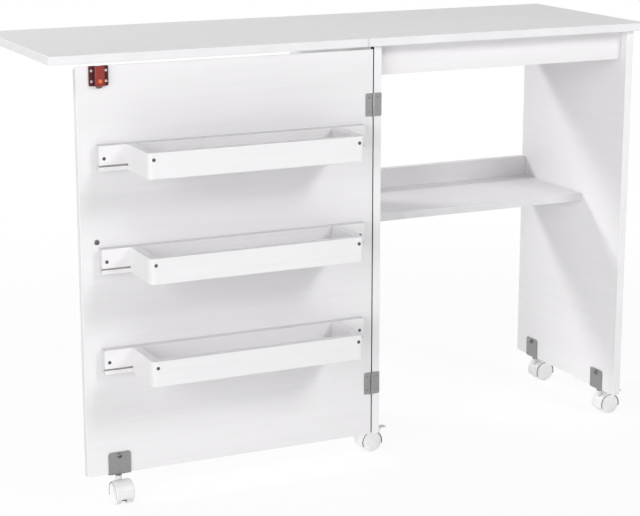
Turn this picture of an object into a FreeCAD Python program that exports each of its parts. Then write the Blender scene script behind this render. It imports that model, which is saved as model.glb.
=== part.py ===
import FreeCAD
import Part
import math
import os

# Folding cutting table on casters, standing open.
# The cabinet is on the right of the seam and the drop leaf, carried over the open door, on the left.
# Millimetres. X to the right, Y to the back, Z up. The origin is on the floor, below the middle of the
# box that holds the whole table.

# Tops
LEAF_LENGTH = 590.0
FIXED_TOP_LENGTH = 590.0
SEAM_GAP = 1.0
TOP_DEPTH = 394.0
TOP_THICKNESS = 15.0
TABLE_HEIGHT = 797.0
FRONT_OVERHANG = 10.0
BACK_OVERHANG = 15.0
END_OVERHANG = 20.0

# Boards of the cabinet, the door and the trays
BOARD = 15.0
EDGE_CHAMFER = 0.6
LEFT_PANEL_INSET = 15.5
APRON_HEIGHT = 56.0
APRON_LOCK_GAP = 8.0
SHELF_RISE = 388.0
SHELF_TRAY_GAP = 19.0
SHELF_RAIL_HEIGHT = 40.0
DOWEL_DIAMETER = 8.0
DOWEL_IN_PANEL = 14.0
DOWEL_IN_TOP = 9.0
DOWEL_INSET = 55.0

# Fold of the leaf against the swing of the door
FOLD_RATIO = 0.5
SWING_CLEARANCE = 0.6

# Trays on the inner face of the door
TRAY_NAMES = ("lower", "middle", "upper")
TRAY_RISE = 187.0
TRAY_LOCK_GAP = 95.4
TRAY_PROJECTION = 116.0
TRAY_EDGE_MARGIN = 31.5
TRAY_HINGE_MARGIN = 22.5
TRAY_BOARD_HEIGHT = 45.0
TRAY_RAIL_EXTENSION = 51.5
TRAY_BOTTOM_THICKNESS = 3.0
TRAY_CORNER_RADIUS = 8.0
GROOVE_RISE = 8.0
GROOVE_DEPTH = 5.0
GROOVE_FIT = 0.3
RAIL_SCREW_INSET = 9.5
FRONT_SCREW_DROP = 12.0
FRONT_SCREW_INSET = 10.0

# Countersunk screws
BOARD_SCREW_HEAD = 6.4
BOARD_SCREW_SHANK = 4.0
BOARD_SCREW_BITE = 25.0
RAIL_SCREW_BITE = 10.0
SCREW_LINE_INSET = 40.0
APRON_SCREW_INSET = 14.0
HARDWARE_SCREW_HEAD = 5.4
HARDWARE_SCREW_SHANK = 2.8
HARDWARE_SCREW_LENGTH = 12.0
LOCK_SCREW_HEAD = 4.2
LOCK_SCREW_SHANK = 2.4

# Round-headed bolts of the caster brackets
BRACKET_BOLT_HEAD = 9.5
BRACKET_BOLT_HEAD_HEIGHT = 3.5
BRACKET_BOLT_SHANK = 5.0
BRACKET_BOLT_BITE = 11.0

# Hinges of the door
HINGE_HEIGHT = 42.0
HINGE_END_DISTANCE = 100.0
HINGE_LEAF_THICKNESS = 1.2
HINGE_LEAF_GAP = 2.2
HINGE_EDGE_INSET = 0.2
HINGE_PIN_DIAMETER = 2.0
HINGE_CORNER_RADIUS = 2.5
HINGE_SCREW_PITCH = 26.0

# Strip in the gap beside the open door
GAP_STRIP_THICKNESS = 0.5
GAP_STRIP_WIDTH = 12.0
GAP_STRIP_SETBACK = 0.5
GAP_STRIP_END_INSET = 2.0

# Hinges of the drop leaf
LEAF_HINGE_LENGTH = 60.0
LEAF_HINGE_INSET = 75.0
LEAF_HINGE_THICKNESS = 1.5
LEAF_HINGE_PANEL_GAP = 2.0
LEAF_HINGE_PIN_DIAMETER = 2.5
LEAF_HINGE_SCREW_PITCH = 36.0

# Fits shared by both kinds of hinge
KNUCKLE_COUNT = 5
KNUCKLE_END_GAP = 0.4
KNUCKLE_CLEARANCE = 0.25
RUNNING_FIT = 0.05

# Leaf lock at the top of the door
LOCK_INSET = 39.5
LOCK_WIDTH = 34.0
LOCK_HEIGHT = 34.0
LOCK_BASE = 2.5
LOCK_HOUSING_WIDTH = 17.5
LOCK_DEPTH = 10.0
LOCK_EDGE_CHAMFER = 2.0
LOCK_SCREW_SPACING_X = 26.0
LOCK_SCREW_SPACING_Z = 18.0
BOLT_WIDTH = 11.0
BOLT_THICKNESS = 4.0
BOLT_BACK_WALL = 1.2
BOLT_TRAVEL = 11.0
BOLT_TOP_INSET = 0.5
BOLT_TAIL = 4.0
BOLT_FIT = 0.3
BOLT_POCKET_MARGIN = 1.2
BUTTON_DIAMETER = 7.3
BUTTON_STANDOUT = 2.0
BUTTON_TRAVEL = 1.5
BUTTON_RISE = 9.0
STRIKE_THICKNESS = 1.2
STRIKE_CLEARANCE = 0.8
STRIKE_MARGIN = 2.0
STRIKE_EAR = 9.0

# Knob on the outer face of the door
KNOB_INSET = 29.0
KNOB_TRAY_GAP = 10.0
KNOB_DIAMETER = 30.0
KNOB_NECK_DIAMETER = 14.0
KNOB_LENGTH = 25.0
KNOB_HEAD_LENGTH = 13.0
KNOB_EDGE_RADIUS = 3.0
KNOB_BOLT_DIAMETER = 5.0
KNOB_BOLT_HEAD = 9.5
KNOB_BOLT_HEAD_HEIGHT = 2.2
KNOB_BOLT_BITE = 14.0

# Casters
WHEEL_DIAMETER = 40.0
WHEEL_WIDTH = 12.0
WHEEL_EDGE_RADIUS = 2.0
WHEEL_DOME_DIAMETER = 35.0
WHEEL_DOME_HEIGHT = 1.6
WHEEL_SIDE_GAP = 0.6
WHEEL_END_WALL = 4.0
AXLE_DIAMETER = 6.0
CASTER_TRAIL = 16.0
HOOD_GAP = 1.2
HOOD_WALL = 1.8
HOOD_WEB = 9.0
HOOD_START_ANGLE = -15.0
HOOD_SWEEP_ANGLE = 220.0
NECK_HEIGHT = 4.5
NECK_DIAMETER = 12.5
SWIVEL_GAP = 0.3
SPIGOT_DIAMETER = 5.0
SPIGOT_DEPTH = 16.0
STEM_DIAMETER = 8.0
STEM_BITE = 14.0
NUT_HEIGHT = 3.5
NUT_ACROSS_FLATS = 9.5
BRACKET_THICKNESS = 2.0
BRACKET_WIDTH = 41.0
BRACKET_HEIGHT = 40.0
BRACKET_CORNER_RADIUS = 5.0
BRACKET_EDGE_INSET = 1.0
BRACKET_BOLT_DROP = 7.0
CASTER_INSET = 61.0
DOOR_CASTER_INSET = 59.0

# Brake levers of the front casters
LEVER_ANGLE = 45.0
LEVER_TILT = 8.0
LEVER_LENGTH = 19.0
LEVER_WIDTH = 13.0
LEVER_THICKNESS = 2.4
LEVER_BARREL_DIAMETER = 4.4
LEVER_PIN_DIAMETER = 2.6
LEVER_HOOD_GAP = 0.8
LEVER_EAR = 2.0
LEVER_EAR_RADIUS = 2.8
LEVER_SIDE_GAP = 0.3

# Places worked out from the sizes above
WHEEL_R = WHEEL_DIAMETER / 2
HOOD_R = WHEEL_R + HOOD_GAP + HOOD_WALL
LEVER_R = HOOD_R + LEVER_HOOD_GAP + LEVER_BARREL_DIAMETER / 2
LEVER_X = CASTER_TRAIL + LEVER_R * math.cos(math.radians(LEVER_ANGLE))
LEVER_Z = WHEEL_R + LEVER_R * math.sin(math.radians(LEVER_ANGLE))
LEVER_END_X = (LEVER_X + LEVER_LENGTH * math.cos(math.radians(LEVER_TILT))
               + LEVER_THICKNESS / 2 * math.sin(math.radians(LEVER_TILT)))

LEFT_REACH = SEAM_GAP / 2 + LEAF_LENGTH
TOP_REACH = SEAM_GAP / 2 + FIXED_TOP_LENGTH
RIGHT_REACH = max(TOP_REACH, TOP_REACH - END_OVERHANG - BOARD / 2 + LEVER_END_X)
SEAM = (LEFT_REACH - RIGHT_REACH) / 2
FRONT = (TRAY_PROJECTION - (TOP_DEPTH - FRONT_OVERHANG)) / 2
TOP_FRONT = FRONT - FRONT_OVERHANG
TOP_BACK = TOP_FRONT + TOP_DEPTH
UNDERSIDE = TABLE_HEIGHT - TOP_THICKNESS

HOOD_TOP = WHEEL_R + HOOD_R
NUT_BOTTOM = HOOD_TOP + NECK_HEIGHT
PLATE_BOTTOM = NUT_BOTTOM + NUT_HEIGHT
PANEL_BOTTOM = PLATE_BOTTOM + BRACKET_THICKNESS
WHEEL_INNER = HOOD_WEB / 2 + WHEEL_SIDE_GAP
WHEEL_OUTER = WHEEL_INNER + WHEEL_WIDTH

CABINET_LEFT = SEAM + LEFT_PANEL_INSET
CABINET_RIGHT = SEAM + TOP_REACH - END_OVERHANG
CABINET_BACK = TOP_BACK - BACK_OVERHANG
INNER_LEFT = CABINET_LEFT + BOARD
INNER_RIGHT = CABINET_RIGHT - BOARD
SHELF_TOP = PANEL_BOTTOM + SHELF_RISE
SHELF_FRONT = FRONT + TRAY_PROJECTION + SHELF_TRAY_GAP
APRON_FRONT = FRONT + LOCK_DEPTH + BUTTON_STANDOUT + APRON_LOCK_GAP

HINGE_STANDOFF = HINGE_LEAF_THICKNESS + HINGE_LEAF_GAP / 2
HINGE_KNUCKLE_R = HINGE_PIN_DIAMETER / 2 + RUNNING_FIT + HINGE_LEAF_THICKNESS
DOOR_GAP = 2 * math.sqrt((HINGE_KNUCKLE_R + KNUCKLE_CLEARANCE) ** 2 - HINGE_STANDOFF ** 2)
HINGE_X = CABINET_LEFT - DOOR_GAP / 2
HINGE_Y = FRONT - HINGE_STANDOFF
HINGE_REACH = BOARD + DOOR_GAP / 2 - HINGE_EDGE_INSET

DOOR_RIGHT = HINGE_X - DOOR_GAP / 2
DOOR_LEFT = DOOR_RIGHT - (CABINET_RIGHT - CABINET_LEFT)
DOOR_BACK = FRONT + BOARD
DOOR_TOP = UNDERSIDE - FOLD_RATIO * FRONT_OVERHANG - SWING_CLEARANCE
DOOR_TOP_BACK = UNDERSIDE - FOLD_RATIO * (FRONT_OVERHANG + BOARD) - SWING_CLEARANCE
HINGE_HEIGHTS = (PANEL_BOTTOM + HINGE_END_DISTANCE, DOOR_TOP - HINGE_END_DISTANCE)

LEAF_KNUCKLE_R = LEAF_HINGE_PIN_DIAMETER / 2 + RUNNING_FIT + LEAF_HINGE_THICKNESS
LEAF_PIVOT_Z = UNDERSIDE - LEAF_KNUCKLE_R - KNUCKLE_CLEARANCE
LEAF_HINGE_REACH = LEFT_PANEL_INSET - LEAF_HINGE_PANEL_GAP
LEAF_HINGE_PLACES = (FRONT + LEAF_HINGE_INSET, CABINET_BACK - LEAF_HINGE_INSET)

RAIL_LEFT = DOOR_LEFT + TRAY_EDGE_MARGIN
RAIL_RIGHT = DOOR_RIGHT - TRAY_HINGE_MARGIN
TRAY_LEFT = RAIL_LEFT + TRAY_RAIL_EXTENSION
TRAY_RIGHT = RAIL_RIGHT - TRAY_RAIL_EXTENSION
RAIL_FACE = FRONT - BOARD
TRAY_FRONT = FRONT - TRAY_PROJECTION
TRAY_FRONT_BACK = TRAY_FRONT + BOARD
LOWER_TRAY = PANEL_BOTTOM + TRAY_RISE
UPPER_TRAY = DOOR_TOP - LOCK_HEIGHT - BOLT_TAIL - TRAY_LOCK_GAP - TRAY_BOARD_HEIGHT
TRAY_PITCH = (UPPER_TRAY - LOWER_TRAY) / (len(TRAY_NAMES) - 1)
TRAY_HEIGHTS = [LOWER_TRAY + i * TRAY_PITCH for i in range(len(TRAY_NAMES))]

LOCK_X = DOOR_LEFT + LOCK_INSET
BOLT_BACK = FRONT - BOLT_BACK_WALL
BOLT_FACE = BOLT_BACK - BOLT_THICKNESS
BOLT_TOP = DOOR_TOP - BOLT_TOP_INSET
BOLT_REACH = BOLT_TOP + BOLT_TRAVEL - UNDERSIDE
BUTTON_Z = DOOR_TOP - LOCK_HEIGHT + BUTTON_RISE

# Side of the cabinet and end of the side panel that each of its casters is under
LEFT_STEM_X = CABINET_LEFT + BOARD / 2
RIGHT_STEM_X = CABINET_RIGHT - BOARD / 2
FRONT_STEM_Y = FRONT + CASTER_INSET
REAR_STEM_Y = CABINET_BACK - CASTER_INSET
DOOR_STEM = (DOOR_LEFT + DOOR_CASTER_INSET, FRONT + BOARD / 2)

# Stem place, turn of the bracket, heading of the wheels and whether there is a brake
CABINET_CASTERS = (
    dict(name="left_front", stem=(LEFT_STEM_X, FRONT_STEM_Y), turn=90, heading=0, braked=True),
    dict(name="left_rear", stem=(LEFT_STEM_X, REAR_STEM_Y), turn=90, heading=0, braked=False),
    dict(name="right_front", stem=(RIGHT_STEM_X, FRONT_STEM_Y), turn=-90, heading=0, braked=True),
    dict(name="right_rear", stem=(RIGHT_STEM_X, REAR_STEM_Y), turn=-90, heading=0, braked=False),
)
DOOR_CASTER = dict(name="door", stem=DOOR_STEM, turn=0, heading=-90, braked=False)

RIGHTWARD = FreeCAD.Vector(1, 0, 0)
LEFTWARD = FreeCAD.Vector(-1, 0, 0)
BACKWARD = FreeCAD.Vector(0, 1, 0)
FORWARD = FreeCAD.Vector(0, -1, 0)
UPWARD = FreeCAD.Vector(0, 0, 1)
ORIGIN = FreeCAD.Vector(0, 0, 0)


def block(x0, x1, y0, y1, z0, z1):
    """Box between two corners."""
    return Part.makeBox(x1 - x0, y1 - y0, z1 - z0, FreeCAD.Vector(x0, y0, z0))


def board(x0, x1, y0, y1, z0, z1):
    """Box with all its edges eased."""
    box = block(x0, x1, y0, y1, z0, z1)
    return box.makeChamfer(EDGE_CHAMFER, box.Edges)


def rod(diameter, start, direction, length):
    """Round bar from a point along a direction."""
    return Part.makeCylinder(diameter / 2, length, FreeCAD.Vector(*start), direction)


def screw(place, direction, head, shank, length):
    """Countersunk screw with the face of its head at a place."""
    point = FreeCAD.Vector(*place)
    cone = Part.makeCone(head / 2, shank / 2, (head - shank) / 2, point, direction)
    return cone.fuse(Part.makeCylinder(shank / 2, length, point, direction)).removeSplitter()


def board_screw(place, direction, length):
    """Screw that joins two boards."""
    return screw(place, direction, BOARD_SCREW_HEAD, BOARD_SCREW_SHANK, length)


def hardware_screw(place, direction):
    """Short screw that holds a fitting to a board."""
    return screw(place, direction, HARDWARE_SCREW_HEAD, HARDWARE_SCREW_SHANK, HARDWARE_SCREW_LENGTH)


def bracket_bolt(place, direction):
    """Bolt with a round head that stands on a bracket."""
    point = FreeCAD.Vector(*place)
    head = Part.makeCylinder(BRACKET_BOLT_HEAD / 2, BRACKET_BOLT_HEAD_HEIGHT, point, direction * -1)
    top = point - direction * BRACKET_BOLT_HEAD_HEIGHT
    rim = [e for e in head.Edges if e.Closed and e.CenterOfMass.distanceToPoint(top) < RUNNING_FIT]
    head = head.makeFillet(BRACKET_BOLT_HEAD_HEIGHT / 2, rim)
    length = BRACKET_THICKNESS + BRACKET_BOLT_BITE
    return head.fuse(Part.makeCylinder(BRACKET_BOLT_SHANK / 2, length, point, direction))


def drilled(shape, tools):
    """Shape with the tools that reach into it cut away."""
    near = [tool for tool in tools if tool.BoundBox.intersect(shape.BoundBox)]
    return shape.cut(near) if near else shape


def upright_edges(shape):
    """Edges of a shape that run straight up."""
    return [e for e in shape.Edges if abs(e.tangentAt(e.FirstParameter).z) > 0.99]


def closed(shape):
    """Copy of a piece of the door as it stands with the door shut."""
    return shape.copy().rotate(FreeCAD.Vector(HINGE_X, HINGE_Y, 0), UPWARD, 180)


# Fasteners and pins, made first so that the boards can be drilled for them

def cabinet_screws():
    """Screws through the side panels into the shelf, its rail and the aprons."""
    length = BOARD + BOARD_SCREW_BITE
    shelf_z = SHELF_TOP - BOARD / 2
    rail_z = SHELF_TOP + SHELF_RAIL_HEIGHT / 2
    apron_low = UNDERSIDE - APRON_HEIGHT + APRON_SCREW_INSET
    apron_high = UNDERSIDE - APRON_SCREW_INSET
    rear_y = CABINET_BACK - BOARD / 2
    front_y = APRON_FRONT + BOARD / 2
    places = [(SHELF_FRONT + SCREW_LINE_INSET, shelf_z), (CABINET_BACK - SCREW_LINE_INSET, shelf_z)]
    places.append((rear_y, rail_z))
    for y in (front_y, rear_y):
        places.extend([(y, apron_low), (y, apron_high)])
    screws = []
    for y, z in places:
        screws.append(board_screw((CABINET_LEFT, y, z), RIGHTWARD, length))
        screws.append(board_screw((CABINET_RIGHT, y, z), LEFTWARD, length))
    return screws


def top_dowels():
    """Dowels between the top edges of the side panels and the fixed top."""
    dowels = []
    for x in (CABINET_LEFT + BOARD / 2, CABINET_RIGHT - BOARD / 2):
        for y in (FRONT + DOWEL_INSET, CABINET_BACK - DOWEL_INSET):
            start = (x, y, UNDERSIDE - DOWEL_IN_PANEL)
            dowels.append(rod(DOWEL_DIAMETER, start, UPWARD, DOWEL_IN_PANEL + DOWEL_IN_TOP))
    return dowels


def tray_screws():
    """Screws of the three trays: rail to door, front board to ends and rail to ends."""
    screws = []
    for z in TRAY_HEIGHTS:
        middle = z + TRAY_BOARD_HEIGHT / 2
        for x in (RAIL_LEFT + RAIL_SCREW_INSET, RAIL_RIGHT - RAIL_SCREW_INSET):
            screws.append(board_screw((x, RAIL_FACE, middle), BACKWARD, BOARD + RAIL_SCREW_BITE))
        for x in (TRAY_LEFT + FRONT_SCREW_INSET, TRAY_RIGHT - FRONT_SCREW_INSET):
            high = z + TRAY_BOARD_HEIGHT - FRONT_SCREW_DROP
            screws.append(board_screw((x, TRAY_FRONT, high), BACKWARD, BOARD + BOARD_SCREW_BITE))
        for x in (TRAY_LEFT + BOARD / 2, TRAY_RIGHT - BOARD / 2):
            screws.append(board_screw((x, FRONT, middle), FORWARD, BOARD + BOARD_SCREW_BITE))
    return screws


def door_hinge_screws(side):
    """Screws of the door hinges, on the cabinet side (1) or the door side (-1)."""
    inner = HINGE_KNUCKLE_R + KNUCKLE_CLEARANCE
    x = HINGE_X + side * (inner + HINGE_REACH) / 2
    y = FRONT - HINGE_LEAF_THICKNESS
    offsets = (-HINGE_SCREW_PITCH / 2, HINGE_SCREW_PITCH / 2)
    return [hardware_screw((x, y, z + dz), BACKWARD) for z in HINGE_HEIGHTS for dz in offsets]


def leaf_hinge_screws(side):
    """Screws of the leaf hinges, under the fixed top (1) or under the leaf (-1)."""
    inner = LEAF_KNUCKLE_R + KNUCKLE_CLEARANCE
    x = SEAM + side * (inner + LEAF_HINGE_REACH) / 2
    z = UNDERSIDE - LEAF_HINGE_THICKNESS
    offsets = (-LEAF_HINGE_SCREW_PITCH / 2, LEAF_HINGE_SCREW_PITCH / 2)
    return [hardware_screw((x, y + dy, z), UPWARD) for y in LEAF_HINGE_PLACES for dy in offsets]


def cabinet_bracket_bolts():
    """One bolt through each caster bracket of the cabinet."""
    z = PANEL_BOTTOM + BRACKET_HEIGHT - BRACKET_BOLT_DROP
    bolts = []
    for y in (FRONT_STEM_Y, REAR_STEM_Y):
        bolts.append(bracket_bolt((INNER_LEFT + BRACKET_THICKNESS, y, z), LEFTWARD))
        bolts.append(bracket_bolt((INNER_RIGHT - BRACKET_THICKNESS, y, z), RIGHTWARD))
    return bolts


def door_bracket_bolts():
    """Bolt through the caster bracket of the door."""
    z = PANEL_BOTTOM + BRACKET_HEIGHT - BRACKET_BOLT_DROP
    return [bracket_bolt((DOOR_STEM[0], FRONT - BRACKET_THICKNESS, z), BACKWARD)]


def lock_screws():
    """Four screws through the base of the lock."""
    middle = DOOR_TOP - LOCK_HEIGHT / 2
    screws = []
    for dx in (-LOCK_SCREW_SPACING_X / 2, LOCK_SCREW_SPACING_X / 2):
        for dz in (-LOCK_SCREW_SPACING_Z / 2, LOCK_SCREW_SPACING_Z / 2):
            place = (LOCK_X + dx, FRONT - LOCK_BASE, middle + dz)
            screws.append(screw(place, BACKWARD, LOCK_SCREW_HEAD, LOCK_SCREW_SHANK, HARDWARE_SCREW_LENGTH))
    return screws


def strike_screws():
    """Two screws that hold the strike under the leaf."""
    y = (BOLT_FACE + BOLT_BACK) / 2
    dx = BOLT_WIDTH / 2 + STRIKE_CLEARANCE + STRIKE_EAR / 2
    return [hardware_screw((LOCK_X + s * dx, y, UNDERSIDE), UPWARD) for s in (-1, 1)]


def hinge_pins():
    """Pins of the two door hinges and the two leaf hinges."""
    pins = []
    for z in HINGE_HEIGHTS:
        start = (HINGE_X, HINGE_Y, z - HINGE_HEIGHT / 2)
        pins.append(rod(HINGE_PIN_DIAMETER, start, UPWARD, HINGE_HEIGHT))
    for y in LEAF_HINGE_PLACES:
        start = (SEAM, y - LEAF_HINGE_LENGTH / 2, LEAF_PIVOT_Z)
        pins.append(rod(LEAF_HINGE_PIN_DIAMETER, start, BACKWARD, LEAF_HINGE_LENGTH))
    return pins


# Hinge leaves

def knuckle_spans(length, moving):
    """Start and end of each knuckle along a hinge, for its fixed or its moving leaf."""
    step = length / KNUCKLE_COUNT
    spans = []
    for i in range(KNUCKLE_COUNT):
        if (i % 2 == 1) == moving:
            low = i * step + (KNUCKLE_END_GAP / 2 if i > 0 else 0)
            high = (i + 1) * step - (KNUCKLE_END_GAP / 2 if i < KNUCKLE_COUNT - 1 else 0)
            spans.append((low - length / 2, high - length / 2))
    return spans


def hinge_leaf(length, reach, thickness, standoff, knuckle_r, pin, moving):
    """Hinge leaf about an upright axis at the origin: plate towards +X, its back at y = standoff."""
    start = knuckle_r + KNUCKLE_CLEARANCE
    plate = block(start, reach, standoff - thickness, standoff, -length / 2, length / 2)
    corners = [e for e in plate.Edges if e.CenterOfMass.x > reach - RUNNING_FIT]
    corners = [e for e in corners if abs(e.tangentAt(e.FirstParameter).y) > 0.99]
    leaf = plate.makeFillet(HINGE_CORNER_RADIUS, corners)
    for low, high in knuckle_spans(length, moving):
        leaf = leaf.fuse(block(0, start, standoff - thickness, standoff, low, high))
        leaf = leaf.fuse(rod(2 * knuckle_r, (0, 0, low), UPWARD, high - low))
    bore = pin + 2 * RUNNING_FIT if moving else pin
    return leaf.removeSplitter().cut(rod(bore, (0, 0, -length), UPWARD, 2 * length))


def door_hinge_leaves(moving):
    """Leaves of both door hinges, on the cabinet or on the door."""
    screws = door_hinge_screws(-1 if moving else 1)
    leaves = []
    for z in HINGE_HEIGHTS:
        leaf = hinge_leaf(HINGE_HEIGHT, HINGE_REACH, HINGE_LEAF_THICKNESS, HINGE_STANDOFF,
                          HINGE_KNUCKLE_R, HINGE_PIN_DIAMETER, moving)
        if moving:
            leaf = leaf.mirror(ORIGIN, RIGHTWARD)
        leaf.translate(FreeCAD.Vector(HINGE_X, HINGE_Y, z))
        leaves.append(drilled(leaf, screws))
    return Part.makeCompound(leaves)


def leaf_hinge_plates(moving):
    """Plates of both leaf hinges, under the fixed top or under the leaf."""
    screws = leaf_hinge_screws(-1 if moving else 1)
    plates = []
    for y in LEAF_HINGE_PLACES:
        plate = hinge_leaf(LEAF_HINGE_LENGTH, LEAF_HINGE_REACH, LEAF_HINGE_THICKNESS,
                           UNDERSIDE - LEAF_PIVOT_Z, LEAF_KNUCKLE_R, LEAF_HINGE_PIN_DIAMETER, moving)
        if moving:
            plate = plate.mirror(ORIGIN, RIGHTWARD)
        plate = plate.rotate(ORIGIN, RIGHTWARD, 90)
        plate.translate(FreeCAD.Vector(SEAM, y, LEAF_PIVOT_Z))
        plates.append(drilled(plate, screws))
    return Part.makeCompound(plates)


# Tops and cabinet

def bolt_pocket():
    """Space in the underside of a top for the tip of the raised bolt."""
    x = BOLT_WIDTH / 2 + STRIKE_CLEARANCE
    depth = BOLT_REACH + BOLT_POCKET_MARGIN
    return block(LOCK_X - x, LOCK_X + x, BOLT_FACE - STRIKE_CLEARANCE, BOLT_BACK + STRIKE_CLEARANCE,
                 UNDERSIDE, UNDERSIDE + depth)


def strike_outline():
    """Plate that lies flush in the underside of the leaf, still without its slot."""
    x = BOLT_WIDTH / 2 + STRIKE_CLEARANCE + STRIKE_EAR
    y0 = BOLT_FACE - STRIKE_CLEARANCE - STRIKE_MARGIN
    y1 = BOLT_BACK + STRIKE_CLEARANCE + STRIKE_MARGIN
    return block(LOCK_X - x, LOCK_X + x, y0, y1, UNDERSIDE, UNDERSIDE + STRIKE_THICKNESS)


def lock_strike():
    """Strike plate with its slot for the bolt."""
    return drilled(strike_outline().cut(bolt_pocket()), strike_screws())


def fixed_top():
    """Fixed half of the top, with a pocket that lets the raised bolt hold the shut door."""
    left = SEAM + SEAM_GAP / 2
    top = board(left, left + FIXED_TOP_LENGTH, TOP_FRONT, TOP_BACK, UNDERSIDE, TABLE_HEIGHT)
    return drilled(top, [closed(bolt_pocket())] + top_dowels() + leaf_hinge_screws(1))


def drop_leaf():
    """Hinged half of the top."""
    right = SEAM - SEAM_GAP / 2
    leaf = board(right - LEAF_LENGTH, right, TOP_FRONT, TOP_BACK, UNDERSIDE, TABLE_HEIGHT)
    tools = [strike_outline(), bolt_pocket()]
    return drilled(leaf, tools + strike_screws() + leaf_hinge_screws(-1))


def door_gap_strip():
    """Thin dark strip on the left panel, in the gap that the hinges leave beside the open door."""
    front = FRONT + GAP_STRIP_SETBACK
    low, high = PANEL_BOTTOM + GAP_STRIP_END_INSET, UNDERSIDE - GAP_STRIP_END_INSET
    return block(CABINET_LEFT - GAP_STRIP_THICKNESS, CABINET_LEFT, front, front + GAP_STRIP_WIDTH, low, high)


def side_panel(left):
    """One side of the cabinet, from its left face."""
    panel = board(left, left + BOARD, FRONT, CABINET_BACK, PANEL_BOTTOM, UNDERSIDE)
    fittings = top_dowels() + door_hinge_screws(1) + cabinet_bracket_bolts()
    return drilled(panel, fittings + cabinet_screws() + caster_stems(CABINET_CASTERS))


def apron(front):
    """Rail under the fixed top between the side panels."""
    return drilled(board(INNER_LEFT, INNER_RIGHT, front, front + BOARD, UNDERSIDE - APRON_HEIGHT, UNDERSIDE),
                   cabinet_screws())


def shelf():
    """Middle shelf, set back to leave room for the trays of the shut door."""
    plate = board(INNER_LEFT, INNER_RIGHT, SHELF_FRONT, CABINET_BACK, SHELF_TOP - BOARD, SHELF_TOP)
    return drilled(plate, cabinet_screws())


def shelf_back_rail():
    """Rail along the back edge of the shelf."""
    rail = board(INNER_LEFT, INNER_RIGHT, CABINET_BACK - BOARD, CABINET_BACK,
                 SHELF_TOP, SHELF_TOP + SHELF_RAIL_HEIGHT)
    return drilled(rail, cabinet_screws())


# Door, knob and trays

def door_panel():
    """Door whose top edge slopes to the back, so that it swings out from under the falling leaf."""
    outline = [(FRONT, PANEL_BOTTOM), (DOOR_BACK, PANEL_BOTTOM)]
    outline += [(DOOR_BACK, DOOR_TOP_BACK), (FRONT, DOOR_TOP)]
    points = [FreeCAD.Vector(DOOR_LEFT, y, z) for y, z in outline + outline[:1]]
    slab = Part.Face(Part.makePolygon(points)).extrude(RIGHTWARD * (DOOR_RIGHT - DOOR_LEFT))
    slab = slab.makeChamfer(EDGE_CHAMFER, slab.Edges)
    fittings = door_hinge_screws(-1) + door_bracket_bolts() + lock_screws() + tray_screws()
    return drilled(slab, fittings + [knob_bolt()] + caster_stems([DOOR_CASTER]))


def knob_place():
    """Place of the knob's axis on the inner face of the door."""
    middle_tray_top = TRAY_HEIGHTS[len(TRAY_HEIGHTS) // 2] + TRAY_BOARD_HEIGHT
    return DOOR_LEFT + KNOB_INSET, FRONT, middle_tray_top + KNOB_TRAY_GAP


def knob_bolt():
    """Bolt through the door with a low domed head on the inner face."""
    x, y, z = knob_place()
    shank = rod(KNOB_BOLT_DIAMETER, (x, y, z), BACKWARD, BOARD + KNOB_BOLT_BITE)
    head = rod(KNOB_BOLT_HEAD, (x, y - KNOB_BOLT_HEAD_HEIGHT, z), BACKWARD, KNOB_BOLT_HEAD_HEIGHT)
    rim = [e for e in head.Edges if e.CenterOfMass.y < y - RUNNING_FIT and e.Closed]
    return head.makeFillet(KNOB_BOLT_HEAD_HEIGHT / 2, rim).fuse(shank)


def door_knob():
    """Round pull on the outer face of the door."""
    x, y, z = knob_place()
    neck = rod(KNOB_NECK_DIAMETER, (x, DOOR_BACK, z), BACKWARD, KNOB_LENGTH)
    head = rod(KNOB_DIAMETER, (x, DOOR_BACK + KNOB_LENGTH - KNOB_HEAD_LENGTH, z), BACKWARD, KNOB_HEAD_LENGTH)
    head = head.makeFillet(KNOB_EDGE_RADIUS, [e for e in head.Edges if e.Closed])
    return neck.fuse(head).removeSplitter().cut(knob_bolt())


def groove(x0, x1, y0, y1, bottom):
    """Slot for the bottom of a tray, in a board that starts at a height."""
    low = bottom + GROOVE_RISE
    return block(x0, x1, y0, y1, low, low + TRAY_BOTTOM_THICKNESS + GROOVE_FIT)


def tray_back_rail(bottom):
    """Rail on the door, longer than its tray, with a groove from end to end."""
    rail = board(RAIL_LEFT, RAIL_RIGHT, RAIL_FACE, FRONT, bottom, bottom + TRAY_BOARD_HEIGHT)
    slot = groove(RAIL_LEFT, RAIL_RIGHT, RAIL_FACE, RAIL_FACE + GROOVE_DEPTH, bottom)
    return drilled(rail.cut(slot), tray_screws())


def tray_front_board(bottom):
    """Front of a tray with rounded corners and a groove that stops inside its ends."""
    front = block(TRAY_LEFT, TRAY_RIGHT, TRAY_FRONT, TRAY_FRONT_BACK, bottom, bottom + TRAY_BOARD_HEIGHT)
    corners = [e for e in upright_edges(front) if e.CenterOfMass.y < TRAY_FRONT + RUNNING_FIT]
    front = front.makeFillet(TRAY_CORNER_RADIUS, corners)
    uprights = upright_edges(front)
    front = front.makeChamfer(EDGE_CHAMFER, [e for e in front.Edges if not any(e.isSame(u) for u in uprights)])
    inset = BOARD - GROOVE_DEPTH
    slot = groove(TRAY_LEFT + inset, TRAY_RIGHT - inset,
                  TRAY_FRONT_BACK - GROOVE_DEPTH, TRAY_FRONT_BACK, bottom)
    return drilled(front.cut(slot), tray_screws())


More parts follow.
